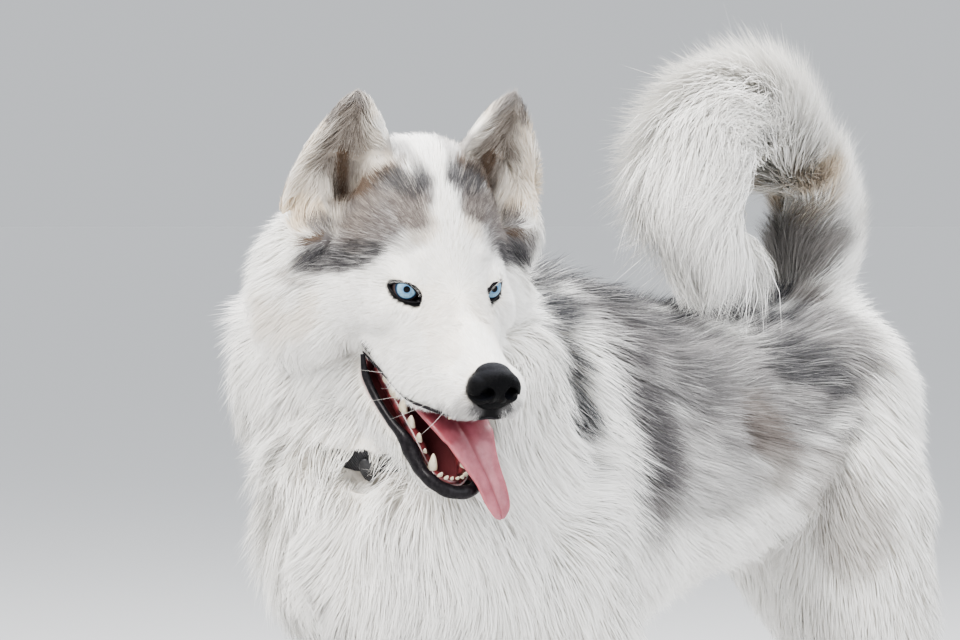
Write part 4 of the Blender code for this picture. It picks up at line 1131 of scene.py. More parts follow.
width = (WIDTH_LEAST + WIDTH_PER_LENGTH * length) * fineness
thickness_of_cover = cover * (1 - soft_step(bare, 0.15, 0.55))
density = thickness_of_cover / (0.6 * length * width)
a, b, c = (skin_at[triangles[:, k]] for k in range(3))
area = np.linalg.norm(np.cross(b - a, c - a), axis=1) / 2
cost = np.where(length[triangles].mean(1) > LONG_TUFT, 5, 3)
expected = area * density[triangles].mean(1)
expected *= COAT_BUDGET / (expected * cost).sum()
counts = np.floor(expected + rng.random(len(expected))).astype(int)
chosen = np.repeat(np.arange(len(triangles)), counts)
TUFTS = len(chosen)
corner = triangles[chosen]
r1, r2 = np.sqrt(rng.random(TUFTS)), rng.random(TUFTS)
share = np.stack([1 - r1, r1 * (1 - r2), r1 * r2], 1)


def at_roots(values):
    values = np.asarray(values)
    if values.ndim == 1:
        return (values[corner] * share).sum(1)
    return (values[corner] * share[:, :, None]).sum(1)


root = at_roots(skin_at)
root_out = unit(at_roots(skin_out))
end_out = unit(at_roots(tip_out))
tuft_depth = at_roots(depth)
tuft_length = at_roots(length)
tuft_width = at_roots(width) * rng.uniform(0.75, 1.3, TUFTS)
tuft_lie = unit(at_roots(lie))
tuft_owner = owner[corner[:, 0]]
print("surface:", round(area.sum(), 3), "m2, tufts:", TUFTS)
for name in COAT_AXES:
    print("  ", name, int((tuft_owner == name).sum()))

# %% [markdown]
# ## Locks
# Hairs of a coat cling together toward their tips. Every twelfth tuft or so is a guide, and
# the tufts round it bend toward its tip, more in the long hair than on the face. Without
# this a coat looks like combed nylon.

# %% Shape the tufts and gather them in locks
LOCK_SIZE = 11            # tufts in one lock
STRAY = 0.06              # share of tufts that keep out of the locks

reach = rng.uniform(0.8, 1.14, TUFTS)[:, None]
rough = np.clip(tuft_depth / 0.03, 0.1, 1.0)[:, None]
jitter = rng.normal(size=(TUFTS, 3)) * tuft_length[:, None] * (0.035 + 0.06 * rough)
sway = np.stack([wander(root, 0.016, k) + 0.6 * wander(root, 0.006, k) for k in range(3)], 1)
sway = sway * tuft_length[:, None] * np.where(tuft_owner == "tail", 0.09, 0.09 + 0.06 * rough[:, 0])[:, None]
tip = at_roots(landing) * reach + sway + jitter
lift = tuft_depth * rng.uniform(0.35, 0.75, TUFTS)
knee = root_out * lift[:, None] + tuft_lie * (tuft_length * 0.33)[:, None] + sway * 0.3
knee += rng.normal(size=(TUFTS, 3)) * (tuft_length * 0.035)[:, None]
is_guide = rng.random(TUFTS) < 1 / LOCK_SIZE
guide = np.flatnonzero(is_guide)
tree = KDTree(len(guide))
for k, spot in zip(guide, root[guide]):
    tree.insert(spot, k)
tree.balance()
nearest = np.array([tree.find(spot)[1] for spot in root])
pull = np.clip(0.12 + 0.22 * rough[:, 0] + 0.2 * wander(root, 0.02, 1), 0.04, 0.6)
pull = np.where(tuft_owner == "tail", pull * 0.7, pull)
pull[rng.random(TUFTS) < STRAY] = 0.0
pull = pull[:, None]
guide_tip = root[nearest] + tip[nearest] * 1.04 - root
tip = tip * (1 - pull) + guide_tip * pull
guide_knee = root[nearest] + knee[nearest] - root
knee = knee * (1 - 0.35 * pull) + guide_knee * 0.35 * pull

# Beside the strap the hair is pressed back, most at the throat where the tag hangs.
STRAP_EDGE = 0.015
MARKS_AT = 0.72               # where along a tuft its marking is read
TAG_FRONT = 0.012             # hair before the tag is kept short round this point
TAG_CLEAR = (0.014, 0.021)
SHOWS = (0.8, 0.94)          # share of the tag's direction from which the strap shows
tag_way = np.array(tag_at) - collar_middle
tag_way = unit(tag_way - collar_way * (tag_way @ collar_way))
tag_front = np.array(tag_at) + tag_way * TAG_FRONT
spoke = root - collar_middle
height = spoke @ collar_way
spoke = unit(spoke - np.outer(height, collar_way))
shows = soft_step(spoke @ tag_way, *SHOWS)
tip_height = height + tip @ collar_way
crossing = (height > STRAP_EDGE) & (tip_height < STRAP_EDGE)
crossing &= np.isin(tuft_owner, ("neck", "throat", "ruff", "chest"))
press = np.where(crossing, np.clip((height - STRAP_EDGE) / np.maximum(height - tip_height, 1e-4), 0.25, 1), 1)
press = 1 - shows * (1 - press)
over_tag = np.full(TUFTS, 1.0)
for part in (0.2, 0.4, 0.6, 0.8, 1.0):
    spot = root + tip * part
    over_tag = np.minimum(over_tag, soft_step(np.linalg.norm(spot - tag_front, axis=1), *TAG_CLEAR))
press = np.minimum(press, 0.12 + 0.88 * over_tag)[:, None]
tip = tip * press
knee = knee * press
tuft_marks = read_marks(root + tip * MARKS_AT, tuft_owner == "tail")
print("locks:", len(guide), "pressed by the strap:", int((press < 0.95).sum()))

# %% [markdown]
# ## Colour of each tuft
# A wild-coloured coat has banded hairs: pale at the root and dark at the tip. In a marked
# place some tufts are dark and others stay pale, and the share of dark ones follows the
# marking. That gives the salt-and-pepper look that a smooth blend of grey would miss.

# %% Pick the dark tufts
lock_chance = rng.random(TUFTS)[nearest]
chance = 0.55 * rng.random(TUFTS) + 0.45 * lock_chance
tuft_marks[:, 0] *= 1 - 0.75 * soft_step(chance, 0.55, 1.0)
tuft_marks[:, 1] *= 1 - 0.45 * soft_step(chance, 0.45, 0.95)
tuft_tone = 0.6 * rng.random(TUFTS) + 0.4 * lock_chance

# %% [markdown]
# ## Blades
# A tuft is a flat blade that tapers to a point and curves from its root by way of a knee to
# its tip. Its shading normals lean out at both edges as on a round bundle of hairs, and keep
# to the skin's own normal otherwise, so that the coat takes light softly.

# %% Build the coat
PATCH = 0.003
PIECES = {
    "coat_face": ("muzzle", "jaw", "face", "cheek"),
    "coat_ears": ("ear",),
    "coat_ruff": ("ruff", "throat"),
    "coat_neck": ("neck", "chest"),
    "coat_trunk": ("trunk", "belly"),
    "coat_legs": ("legs", "paws"),
    "coat_tail": ("tail",),
}
PIECE_LIMIT = 190_000


def unwrap(points, names):
    """Places on a flat map: around each axis and along it, with a column for each axis."""
    lines = []
    for name in names:
        matrix, rows, *_ = COAT_AXES[name]
        lines.extend(placed(line, matrix) for line in rows)
    best = np.full(len(points), 1e9)
    place = np.zeros((len(points), 2))
    for k, stations in enumerate(lines):
        near, way, _, _, along = along_axis(points, stations)
        total = sum(np.linalg.norm(q[:3] - p[:3]) for p, q in zip(stations, stations[1:]))
        middle = stations[0, :3]
        aside = unit(np.cross(way, (0.31, 0.17, 0.93)))
        upward_ = np.cross(way, aside)
        offset = points - middle
        angle = np.arctan2((offset * aside).sum(1), (offset * upward_).sum(1)) / (2 * math.pi) + 0.5
        column = np.stack([(k + 0.02 + 0.96 * angle) / len(lines),
                           0.02 + 0.96 * np.clip(along / total, 0, 1)], 1)
        closer = near < best
        place[closer] = column[closer]
        best[closer] = near[closer]
    return place


def blades(chosen, bends, place):
    """Corners, triangles, normals, map places and how far along, for the chosen tufts."""
    count = len(chosen)
    start, mid, end = root[chosen] - root_out[chosen] * 0.0004, knee[chosen], tip[chosen]
    roll = rng.normal(0, 0.45, count)[:, None]
    points, normals, maps, alongs = [], [], [], []
    for t in bends:
        spot = start + 2 * t * (1 - t) * mid + t * t * end
        tangent = unit(2 * (1 - 2 * t) * mid + 2 * t * end)
        out = unit(root_out[chosen] * (1 - t) + end_out[chosen] * t)
        across = unit(np.cross(tangent, out))
        side = np.cos(roll) * across + np.sin(roll) * out
        half = tuft_width[chosen][:, None] / 2 * (1 - t ** 2.2)
        for sign in (1, -1) if t < 1 else (0,):
            points.append(spot + sign * side * half)
            face = unit(np.cross(side, tangent))
            face *= np.sign(np.sum(face * out, 1, keepdims=True) + 1e-9)
            stands = np.abs(np.sum(tangent * out, 1, keepdims=True))
            normals.append(unit((0.9 - 0.6 * stands) * out + 0.7 * stands * face + 0.28 * sign * across))
            maps.append(place + PATCH / 2 * np.array([sign, 2 * t - 1]))
            alongs.append(np.full(count, t))
    rows = len(points)
    faces = []
    for k in range(0, rows - 3, 2):
        faces += [(k, k + 3, k + 1), (k, k + 2, k + 3)]
    faces.append((rows - 3, rows - 1, rows - 2))
    base = np.arange(count)[:, None, None] * rows
    faces = (base + np.array(faces)[None]).reshape(-1, 3)

    def joined(parts):
        return np.stack(parts, 1).reshape((count * rows,) + parts[0].shape[1:])

    return joined(points), faces, joined(normals), joined(maps), joined(alongs), rows


def coat_piece(name, chosen, place):
    long_ones = tuft_length[chosen] > LONG_TUFT
    parts = []
    for picked, bends in ((long_ones, LONG_BENDS), (~long_ones, SHORT_BENDS)):
        if picked.any():
            parts.append((chosen[picked], *blades(chosen[picked], bends, place[picked])))
    points, normals, maps, alongs = (np.concatenate([part[k] for part in parts]) for k in (1, 3, 4, 5))
    starts = np.cumsum([0] + [len(part[1]) for part in parts])
    faces = np.concatenate([part[2] + s for part, s in zip(parts, starts)])
    source = np.concatenate([np.repeat(part[0], part[6]) for part in parts])
    mesh = bpy.data.meshes.new(name)
    mesh.vertices.add(len(points))
    mesh.vertices.foreach_set("co", points.astype(np.float32).ravel())
    mesh.loops.add(faces.size)
    mesh.loops.foreach_set("vertex_index", faces.astype(np.int32).ravel())
    mesh.polygons.add(len(faces))
    mesh.polygons.foreach_set("loop_start", np.arange(0, faces.size, 3, dtype=np.int32))
    mesh.update(calc_edges=True)
    mesh.shade_smooth()
    sheet = mesh.uv_layers.new(name="OFBake")
    sheet.uv.foreach_set("vector", maps[faces.ravel()].astype(np.float32).ravel())
    hair = np.stack([alongs, tuft_tone[source], rough[source, 0], np.ones(len(source))], 1)
    write(mesh, "ink", "FLOAT_COLOR", tuft_marks[source])
    write(mesh, "hair", "FLOAT_COLOR", hair)
    write(mesh, "custom_normal", "FLOAT_VECTOR", normals)
    mesh.update()
    return placed_object(name, mesh)


coat = []
for name, owners in PIECES.items():
    chosen = np.flatnonzero(np.isin(tuft_owner, owners))
    place = unwrap(root[chosen], owners)
    order = np.argsort(place[:, 1], kind="stable")
    weight = np.cumsum(np.where(tuft_length[chosen[order]] > LONG_TUFT, 5, 3))
    parts = int(np.ceil(weight[-1] / PIECE_LIMIT))
    group = np.minimum((weight * parts / (weight[-1] + 1)).astype(int), parts - 1)
    for k in range(parts):
        picked = order[group == k]
        label = name if parts == 1 else f"{name}_{k + 1}"
        coat.append(coat_piece(label, chosen[picked], place[picked]))
print("coat:", len(coat), "pieces,", sum(len(o.data.polygons) for o in coat), "triangles")

# %% [markdown]
# ## Small firm parts
# Eyes, lids, nose, lips, gums, teeth, tongue, claws and whiskers each are a piece of their
# own, made by skinning rings of points. A ring is an oval set across a curve.

# %% Skinning rings


def new_piece(name, points, faces, matrix):
    mesh = closed_mesh(name, moved(points, matrix).tolist(), faces)
    mesh.shade_smooth()
    return placed_object(name, mesh)


class Skins:
    """Many skinned shapes that become one piece."""

    def __init__(self):
        self.points = []
        self.faces = []

    def rings(self, rings, loop=False, caps=True):
        rings = [np.asarray(ring, float) for ring in rings]
        start, count = len(self.points), len(rings[0])
        for ring in rings:
            self.points.extend(ring.tolist())
        last = len(rings) if loop else len(rings) - 1
        for k in range(last):
            a, b = start + k * count, start + (k + 1) % len(rings) * count
            for i in range(count):
                j = (i + 1) % count
                self.faces.append((a + i, a + j, b + j, b + i))
        if caps and not loop:
            self.faces.append(tuple(start + i for i in range(count))[::-1])
            self.faces.append(tuple(start + (len(rings) - 1) * count + i for i in range(count)))

    def piece(self, name, matrix):
        return new_piece(name, self.points, self.faces, matrix)


def ring_across(centre, way, up, half_width, half_height, sides=14):
    """An oval of points across a direction, its height along up."""
    way = unit(way)
    up = unit(np.asarray(up, float) - way * np.dot(up, way))
    aside = np.cross(way, up)
    angle = np.linspace(0, 2 * math.pi, sides, endpoint=False)[:, None]
    return np.asarray(centre) + aside * np.cos(angle) * half_width + up * np.sin(angle) * half_height


def ways_along(points, closed=False):
    if closed:
        return unit(np.roll(points, -1, 0) - np.roll(points, 1, 0))
    return unit(np.gradient(points, axis=0))


def tube(skins, points, widths, heights, up=(0, 0, 1), sides=14):
    points = np.asarray(points, float)
    for_each = ways_along(points)
    widths = np.broadcast_to(widths, len(points))
    heights = np.broadcast_to(heights, len(points))
    skins.rings([ring_across(p, w, up, a, b, sides)
                 for p, w, a, b in zip(points, for_each, widths, heights)])


pieces = {}

# %% [markdown]
# ## Eyes
# The ball is turned on a lathe round the gaze, with the clear front standing out a little.
# Each corner keeps its direction from the middle, so that the shader can draw pupil, fibres
# of the iris, its dark rim and the white in their right places.

# %% Eyeballs
CORNEA_RISE = 0.055
CORNEA_EDGE = 0.84            # radians from the gaze
EYE_RINGS = 44
EYE_SIDES = 72


def eyeball(side, name):
    centre = np.array(mirror(EYE_AT, side))
    out = unit(np.array(GAZES[side]))
    across = unit(np.cross((0, 0, 1), out))
    up = np.cross(out, across)
    points, ways = [], []
    for i in range(EYE_RINGS + 1):
        theta = math.pi * (i / EYE_RINGS) ** 1.25
        rise = 1 + CORNEA_RISE * (1 - float(soft_step(theta, CORNEA_EDGE * 0.35, CORNEA_EDGE * 1.15)))
        for k in range(EYE_SIDES):
            phi = 2 * math.pi * k / EYE_SIDES
            way = (across * math.cos(phi) + up * math.sin(phi)) * math.sin(theta) + out * math.cos(theta)
            points.append(centre + way * EYE_RADIUS * rise)
            ways.append((math.sin(theta) * math.cos(phi), math.sin(theta) * math.sin(phi), math.cos(theta)))
    faces = []
    for i in range(EYE_RINGS):
        for k in range(EYE_SIDES):
            a, b = i * EYE_SIDES + k, i * EYE_SIDES + (k + 1) % EYE_SIDES
            faces.append((a, b, b + EYE_SIDES, a + EYE_SIDES))
    piece = new_piece(name, points, faces, HEAD)
    write(piece.data, "gaze", "FLOAT_VECTOR", ways)
    return piece


for side, name in ((1, "eyeball_left"), (-1, "eyeball_right")):
    pieces[name] = eyeball(side, name)

# %% [markdown]
# ## Lids
# The rim of the lids is a black, moist, rounded edge that hugs the ball. It is skinned
# along the almond through the eight landmarks. A tear duct fills the inner corner, and
# short pale lashes stand on the upper lid.

# %% Lid rims and lashes
LID_REST = 1.165             # how far from the middle of the ball the rim runs, cm
LID_SECTION = (              # away from the opening and out from the ball, cm
    (-0.05, -0.14), (-0.055, -0.02), (-0.01, 0.045), (0.05, 0.058), (0.13, 0.035),
    (0.23, -0.025), (0.34, -0.13), (0.41, -0.34), (0.13, -0.36),
)
DUCT = (0.26, 0.20, 0.13)    # half length, half width and half height of the tear duct, cm
LASHES = 30
LASH_LENGTH = 0.42
LASH_RADII = (0.009, 0.008, 0.006, 0.002)


def lid_curve(side):
    """Points of the rim, the way out from the ball there, and the way off the opening."""
    centre = np.array(mirror(EYE_AT, side))
    rim = smooth_rows([mirror(p, side) for p in LID_RIM], 9, closed=True)
    out = unit(rim - centre)
    on_ball = centre + out * np.maximum(LID_REST, np.linalg.norm(rim - centre, axis=1, keepdims=True) * 0.93)
    along = ways_along(on_ball, closed=True)
    away = np.cross(along, out)
    away *= np.sign(np.sum(away * (on_ball - on_ball.mean(0)), 1, keepdims=True))
    return on_ball, out, unit(away)


def lids(side, name):
    rim, out, away = lid_curve(side)
    swell = 1 + 0.25 * np.exp(-(np.linalg.norm(rim - np.array(mirror(CANTHUS_IN, side)), axis=1) / 0.5) ** 2)
    made = Skins()
    sections = []
    for p, o, a, s in zip(rim, out, away, swell):
        sections.append([p + a * off * s + o * rise for off, rise in LID_SECTION])
    made.rings(sections, loop=True)
    duct = np.array(mirror(CANTHUS_IN, side)) + np.array(mirror((0.22, -0.12, 0.05), side))
    turn = unit(np.array(mirror(CANTHUS_IN - CANTHUS_OUT, side)))
    rings = []
    for k in np.linspace(-1, 1, 9):
        swell = math.sqrt(1.02 - k * k)
        spot = duct + turn * DUCT[0] * k
        rings.append(ring_across(spot, turn, (0, 0, 1), DUCT[1] * swell, DUCT[2] * swell))
    made.rings(rings)
    return made.piece(name, HEAD)


def lashes(side, name):
    rim, out, away = lid_curve(side)
    count = len(rim)
    made = Skins()
    for k in range(LASHES):
        place = (0.05 + 0.4 * k / (LASHES - 1)) * count
        i = int(place)
        start = rim[i] + away[i] * 0.03 + out[i] * 0.03
        long = LASH_LENGTH * (0.55 + 0.45 * math.sin(math.pi * k / (LASHES - 1))) * (0.8 + 0.4 * rng.random())
        drift = rng.normal(0, 0.22, 3)
        outer = unit(out[i] * 0.7 + away[i] * 0.3 + drift + np.array(mirror((0.45, 0, -0.1), side)))
        curve = [start + outer * long * t + away[i] * 0.28 * long * t * t for t in (0, 0.35, 0.7, 1.0)]
        tube(made, curve, LASH_RADII, LASH_RADII, sides=4)
    return made.piece(name, HEAD)


for side, word in ((1, "left"), (-1, "right")):
    pieces["lids_" + word] = lids(side, "lids_" + word)
    pieces["lashes_" + word] = lashes(side, "lashes_" + word)

# %% [markdown]
# ## Nose
# The leather of a dog's nose has a flat top, two wings that curl round comma-shaped
# nostrils, and a groove that runs down to the lip. It is grown from balls, then nostrils
# and groove are cut with beads. Its pebbled grain is left to the shader.

# %% Nose leather
NOSE_VOXEL = 0.00058
nose_flesh = Masses()
nose_flesh.ball((0.0, 9.1, -3.1), (1.78, 1.2, 1.34), HEAD)
nose_flesh.ball((0.0, 8.75, -2.55), (1.4, 1.05, 0.9), HEAD)
nose_flesh.ball((0.0, 9.1, -4.2), (1.42, 0.82, 0.8), HEAD)
for side in (1, -1):
    nose_flesh.ball((side * 1.05, 9.22, -3.35), (0.95, 1.04, 1.12), HEAD)
    nose_flesh.ball((side * 0.42, 9.72, -3.3), (0.5, 0.6, 0.92), HEAD)
nose_cuts = Masses()
for side in (1, -1):
    nose_cuts.ball((side * 0.9, 10.22, -3.3), (0.52, 1.05, 0.44), HEAD)
    nose_cuts.beads([(side * 0.98, 10.22, -3.38, 0.33), (side * 1.38, 10.06, -3.62, 0.26),
                     (side * 1.74, 9.72, -3.74, 0.15), (side * 2.05, 9.3, -3.7, 0.1)], HEAD, 6)
nose_cuts.beads([(0, 10.42, -3.2, 0.05), (0, 10.32, -3.8, 0.085), (0, 10.12, -4.5, 0.1),
                 (0, 9.85, -5.3, 0.12)], HEAD, 10)
nose_mesh = grown_together(nose_flesh.mesh("nose flesh"), NOSE_VOXEL, 6)
cut_mesh = grown_together(nose_cuts.mesh("nose cuts"), NOSE_VOXEL, 1)
nose_mesh = combined(nose_mesh, [cut_mesh], "DIFFERENCE")
nose_mesh = grown_together(nose_mesh, NOSE_VOXEL, 3)
nose_mesh.shade_smooth()
pieces["nose_leather"] = placed_object("nose_leather", nose_mesh)
print("nose:", len(nose_mesh.polygons), "faces")

# %% [markdown]
# ## Lips, gums and teeth
# The lips are black and bare along their edge. The lower one is a loose, bumpy fold that
# bulges beside the canine. Inside stand the teeth: six small incisors, long canines, and a
# row of pointed cheek teeth that end in the big shearing tooth.

# %% Lips
LIP_BULGE = 0.31            # where along a lip it bulges, of its length from either corner
FAR_SIDE = 0.92             # the left half is drawn in a little, as the tongue pulls it
RIPPLES = 20                # folds along a lip


def both_halves(half):
    """A curve over both sides from the rows of the right side, which end in the middle."""
    half = [np.array(p, float) for p in half]
    return half + [p * (-FAR_SIDE, 1, 1) for p in half[-2::-1]]


def lip(name, rows, thick, deep, bumps, bulge):
    curve = smooth_rows(both_halves(rows), 9)
    steps = np.linalg.norm(np.diff(curve, axis=0, prepend=curve[:1]), axis=1)
    part = np.clip(np.cumsum(steps) / steps.sum(), 0, 1)
    from_end = np.minimum(part, 1 - part)
    ripple = 1 + bumps * np.sin(part * math.pi * 2 * RIPPLES) * np.sin(part * math.pi) ** 0.5
    ends = 0.45 + 0.2 * soft_step(from_end, 0.0, 0.08) + 0.35 * soft_step(from_end, 0.16, 0.36)
    ends = ends + bulge * np.exp(-((from_end - LIP_BULGE) / 0.05) ** 2)
    made = Skins()
    tube(made, curve, thick * ends, deep * ends * ripple, up=(0, -0.35, 1), sides=18)
    return made.piece(name, HEAD)


pieces["lip_upper"] = lip("lip_upper", UPPER_LIP, 0.14, 0.13, 0.05, 0.0)
pieces["lip_lower"] = lip("lip_lower", LOWER_LIP, 0.37, 0.5, 0.04, 0.3)

# %% Gums and teeth
LOWER_ARCH = (              # right side in the jaw's frame, back to front
    (-2.7, -2.2, -6.45), (-2.5, -1.0, -6.45), (-2.2, 0.8, -6.48), (-1.9, 2.6, -6.5),
    (-1.65, 4.2, -6.5), (-1.48, 5.6, -6.54), (-1.36, 6.8, -6.56), (-1.14, 7.75, -6.54),
    (-0.55, 8.32, -6.46), (0.0, 8.42, -6.44),
)
UPPER_ARCH = (
    (-3.25, -1.6, -5.05), (-3.15, 0.2, -5.1), (-2.85, 2.2, -5.2), (-2.5, 4.2, -5.25),
    (-2.1, 6.0, -5.2), (-1.8, 7.2, -5.15), (-1.3, 8.1, -5.1), (0.0, 8.5, -5.05),
)


def gum(name, rows, matrix, radius, height):
    curve = smooth_rows(both_halves(rows), 6)
    made = Skins()
    tube(made, curve, radius, height)
    return made.piece(name, matrix)


def tooth(skins, root, way, length, along, across, row_way, hook=0.25):
    """A pointed crown: its root is long along the row, and its tip hooks backward."""
    way = unit(way)
    row_way = unit(row_way)
    rings = []
    for t in (-0.25, 0.0, 0.16, 0.38, 0.62, 0.82, 0.95, 1.0):
        size = (1 - max(t, 0) ** 2.1) ** 0.62 if t < 1 else 0.03
        bulge = 1 + 0.1 * math.sin(math.pi * min(max(t, 0) * 2.5, 1))
        centre = np.asarray(root) + way * length * t - row_way * hook * along * t * t * 1.6
        rings.append(ring_across(centre, way, row_way, across * size * bulge, along * size * bulge, 12))
    skins.rings(rings)


def point_on(rows, place):
    """Point and direction at a forward place on the right side of an arch."""
    curve = smooth_rows(rows, 8)
    order = np.argsort(curve[:, 1])
    spot = np.array([np.interp(place, curve[order, 1], curve[order, k]) for k in range(3)])
    spot[1] = place
    ahead = np.array([np.interp(place + 0.3, curve[order, 1], curve[order, k]) for k in range(3)])
    ahead[1] = place + 0.3
    return spot, unit(ahead - spot)


LOWER_CHEEK_TEETH = (       # forward place, height, half length, half width
    (5.9, 0.5, 0.26, 0.19), (4.75, 0.74, 0.4, 0.22), (3.35, 0.92, 0.5, 0.25),
    (1.95, 1.05, 0.54, 0.28), (0.45, 1.45, 0.66, 0.34), (-0.75, 1.05, 0.48, 0.32),
    (-1.55, 0.55, 0.36, 0.28),
)
UPPER_CHEEK_TEETH = (
    (5.5, 0.42, 0.26, 0.16), (4.3, 0.5, 0.38, 0.18), (2.9, 0.62, 0.42, 0.2),
    (1.3, 0.95, 0.62, 0.28), (-0.4, 0.55, 0.46, 0.34),
)
lower_teeth, upper_teeth = Skins(), Skins()
for skins, rows, table, up in (
    (lower_teeth, LOWER_ARCH, LOWER_CHEEK_TEETH, 1),
    (upper_teeth, UPPER_ARCH, UPPER_CHEEK_TEETH, -1),
):
    for place, height, along, across in table:
        spot, row_way = point_on(rows, place)
        for side in (1, -1):
            flip = np.array((-side, 1, 1))
            lean = np.array((0.1 * side, -0.05, up))
            tooth(skins, (spot + (0, 0, 0.12 * up)) * flip, lean, height, along, across, row_way * flip)
for side in (1, -1):
    tooth(lower_teeth, (1.24 * side, 7.2, -6.5), (0.16 * side, 0.1, 1), 1.4, 0.44, 0.35, (0, 1, 0), 0.7)
    tooth(upper_teeth, (1.78 * side, 7.55, -5.2), (0.1 * side, 0.08, -1), 1.6, 0.42, 0.32, (0, 1, 0), 0.9)
    for k, (left, ahead) in enumerate(((0.2, 8.4), (0.6, 8.3), (0.98, 8.02))):
        tooth(lower_teeth, (left * side, ahead, -6.38), (0.06 * side, 0.22, 1), 0.66 + 0.06 * k,
              0.15, 0.2 + 0.01 * k, (0, 1, 0), 0.1)
    for k, (left, ahead) in enumerate(((0.24, 8.52), (0.74, 8.4), (1.18, 8.1))):
        tooth(upper_teeth, (left * side, ahead, -5.15), (0.05 * side, 0.12, -1), 0.6 + 0.1 * k,
              0.16, 0.21, (0, 1, 0), 0.1)
pieces["gum_lower"] = gum("gum_lower", LOWER_ARCH, JAW, 0.42, 0.42)
pieces["gum_upper"] = gum("gum_upper", UPPER_ARCH, HEAD, 0.45, 0.4)
pieces["teeth_lower"] = lower_teeth.piece("teeth_lower", JAW)
pieces["teeth_upper"] = upper_teeth.piece("teeth_upper", HEAD)

# %% [markdown]
# ## Tongue
# A panting dog's tongue is long, thin and broad toward its end. It lies in the lower jaw,
# folds over the teeth on one side and hangs down. Rings across its middle line have a
# groove on top, raised edges and a soft underside.

# %% Tongue
TONGUE_ROWS = (              # left, forward, up; half width, thickness
    (0.1, -4.2, -7.4, 1.7, 1.2),
    (0.05, -1.6, -7.9, 2.4, 1.3),
    (0.05, 1.2, -8.1, 2.75, 1.2),
    (0.25, 3.4, -8.4, 2.75, 1.0),
    (0.68, 5.1, -9.1, 2.38, 0.8),
    (1.32, 6.35, -10.35, 1.74, 0.62),
    (1.95, 7.1, -11.5, 1.36, 0.52),
    (2.45, 7.7, -12.6, 1.2, 0.44),
    (2.85, 8.15, -13.5, 0.96, 0.36),
    (3.0, 8.32, -14.0, 0.62, 0.26),
    (3.07, 8.4, -14.25, 0.2, 0.1),
)
TONGUE_ACROSS = (1.0, -0.25, 0.0)
TONGUE_SIDES = 36
TONGUE_GROOVE_DEPTH = 0.42


def tongue_section(half_width, thick, deep):
    """Across and up: a groove along the top, rolled edges, a rounded underside."""
    angle = np.linspace(0, 2 * math.pi, TONGUE_SIDES, endpoint=False)
    across = np.cos(angle) * (1 - 0.04 * np.cos(4 * angle))
    up = np.sin(angle) * 0.5
    top = np.clip(np.sin(angle), 0, 1)
    groove = deep * np.exp(-(across / 0.16) ** 2) * top
    raised = 0.2 * deep * np.exp(-((np.abs(across) - 0.72) / 0.22) ** 2) * top
    return across * half_width, (up - groove + raised) * thick


rows = smooth_rows(TONGUE_ROWS, 6)
middle = rows[:, :3]
way = ways_along(middle)
aside = unit(flattened(TONGUE_ACROSS, way))
above = np.cross(aside, way)
above *= np.sign(above[0, 2])
tongue_skin = Skins()
sections, lanes = [], []
for k, (p, a, u, half_width, thick) in enumerate(zip(middle, aside, above, rows[:, 3], rows[:, 4])):
    out = k / (len(rows) - 1)
    across, up = tongue_section(half_width, thick, TONGUE_GROOVE_DEPTH)
    curl = 0.16 * half_width * (np.abs(across) / max(half_width, 0.01)) ** 2.5 * (1 if out > 0.4 else 0.5)
    ripple = 0.035 * np.sin(out * 26 + across * 1.3) * (np.abs(across) / half_width) ** 3
    sections.append(p + np.outer(across, a) + np.outer(up + curl + ripple, u))
    lanes.extend(zip(across / half_width, np.full(len(across), out), up / thick + 0.5))
tongue_skin.rings(sections)
pieces["tongue_wet"] = tongue_skin.piece("tongue_wet", HEAD)
write(pieces["tongue_wet"].data, "lane", "FLOAT_VECTOR", lanes)

# %% [markdown]
# ## Whiskers and claws
# Stiff pale whiskers spring from the pads beside the nose and sweep back. Every toe ends in
# a blunt dark claw.

# %% Whiskers and claws
whiskers = Skins()
for side in (1, -1):
    for row in range(3):
        for k in range(3):
            start = np.array((side * (2.55 + 0.2 * k), 8.1 - 0.95 * k, -3.3 - 0.75 * row + 0.1 * k))
            long = 3.4 + 0.9 * k + rng.uniform(-0.5, 0.6)
            way = unit((side * 0.8, 0.15 - 0.16 * k, 0.1 - 0.3 * row + 0.06 * k) + rng.normal(0, 0.12, 3))
            sag = np.array((0, -0.9, -0.25))
            curve = [start + way * long * t + sag * long * t * t * 0.5 for t in np.linspace(-0.06, 1, 8)]
            taper = 0.017 * (1 - np.linspace(0, 1, 8)) + 0.002
            tube(whiskers, curve, taper, taper, sides=4)
pieces["whiskers"] = whiskers.piece("whiskers", HEAD)

PAD_RISE = 0.0045            # the pads swell out this far above the floor
PAD_SINK = 0.0004
PAD_LEVELS = (-1, -0.9, -0.6, 0, 0.6, 0.95)     # of its rings, from the bottom to the top
pads = Skins()
for stations, side in LEGS.values():
    left, rear = paw_place(stations, side)
    spots = [((left, rear - 0.02 * PAW_LENGTH), (0.26 * PAW_WIDTH, 0.17 * PAW_LENGTH))]
    spots += [((left + across * PAW_WIDTH, rear - (ahead + 0.03) * PAW_LENGTH),
               (0.11 * PAW_WIDTH, 0.12 * PAW_LENGTH)) for across, ahead in TOES]
    for (x, y), (half_width, half_length) in spots:
        rings = []
        for k in PAD_LEVELS:
            level = PAD_SINK + PAD_RISE * (1 + k) / 2
            swell = math.sqrt(1.03 - k * k)
            rings.append(ring_across((x, y, level), (0, 0, 1), (0, 1, 0), half_width * swell,
                                     half_length * swell, 18))
        pads.rings(rings)
pieces["paw_pads"] = pads.piece("paw_pads", BODY)

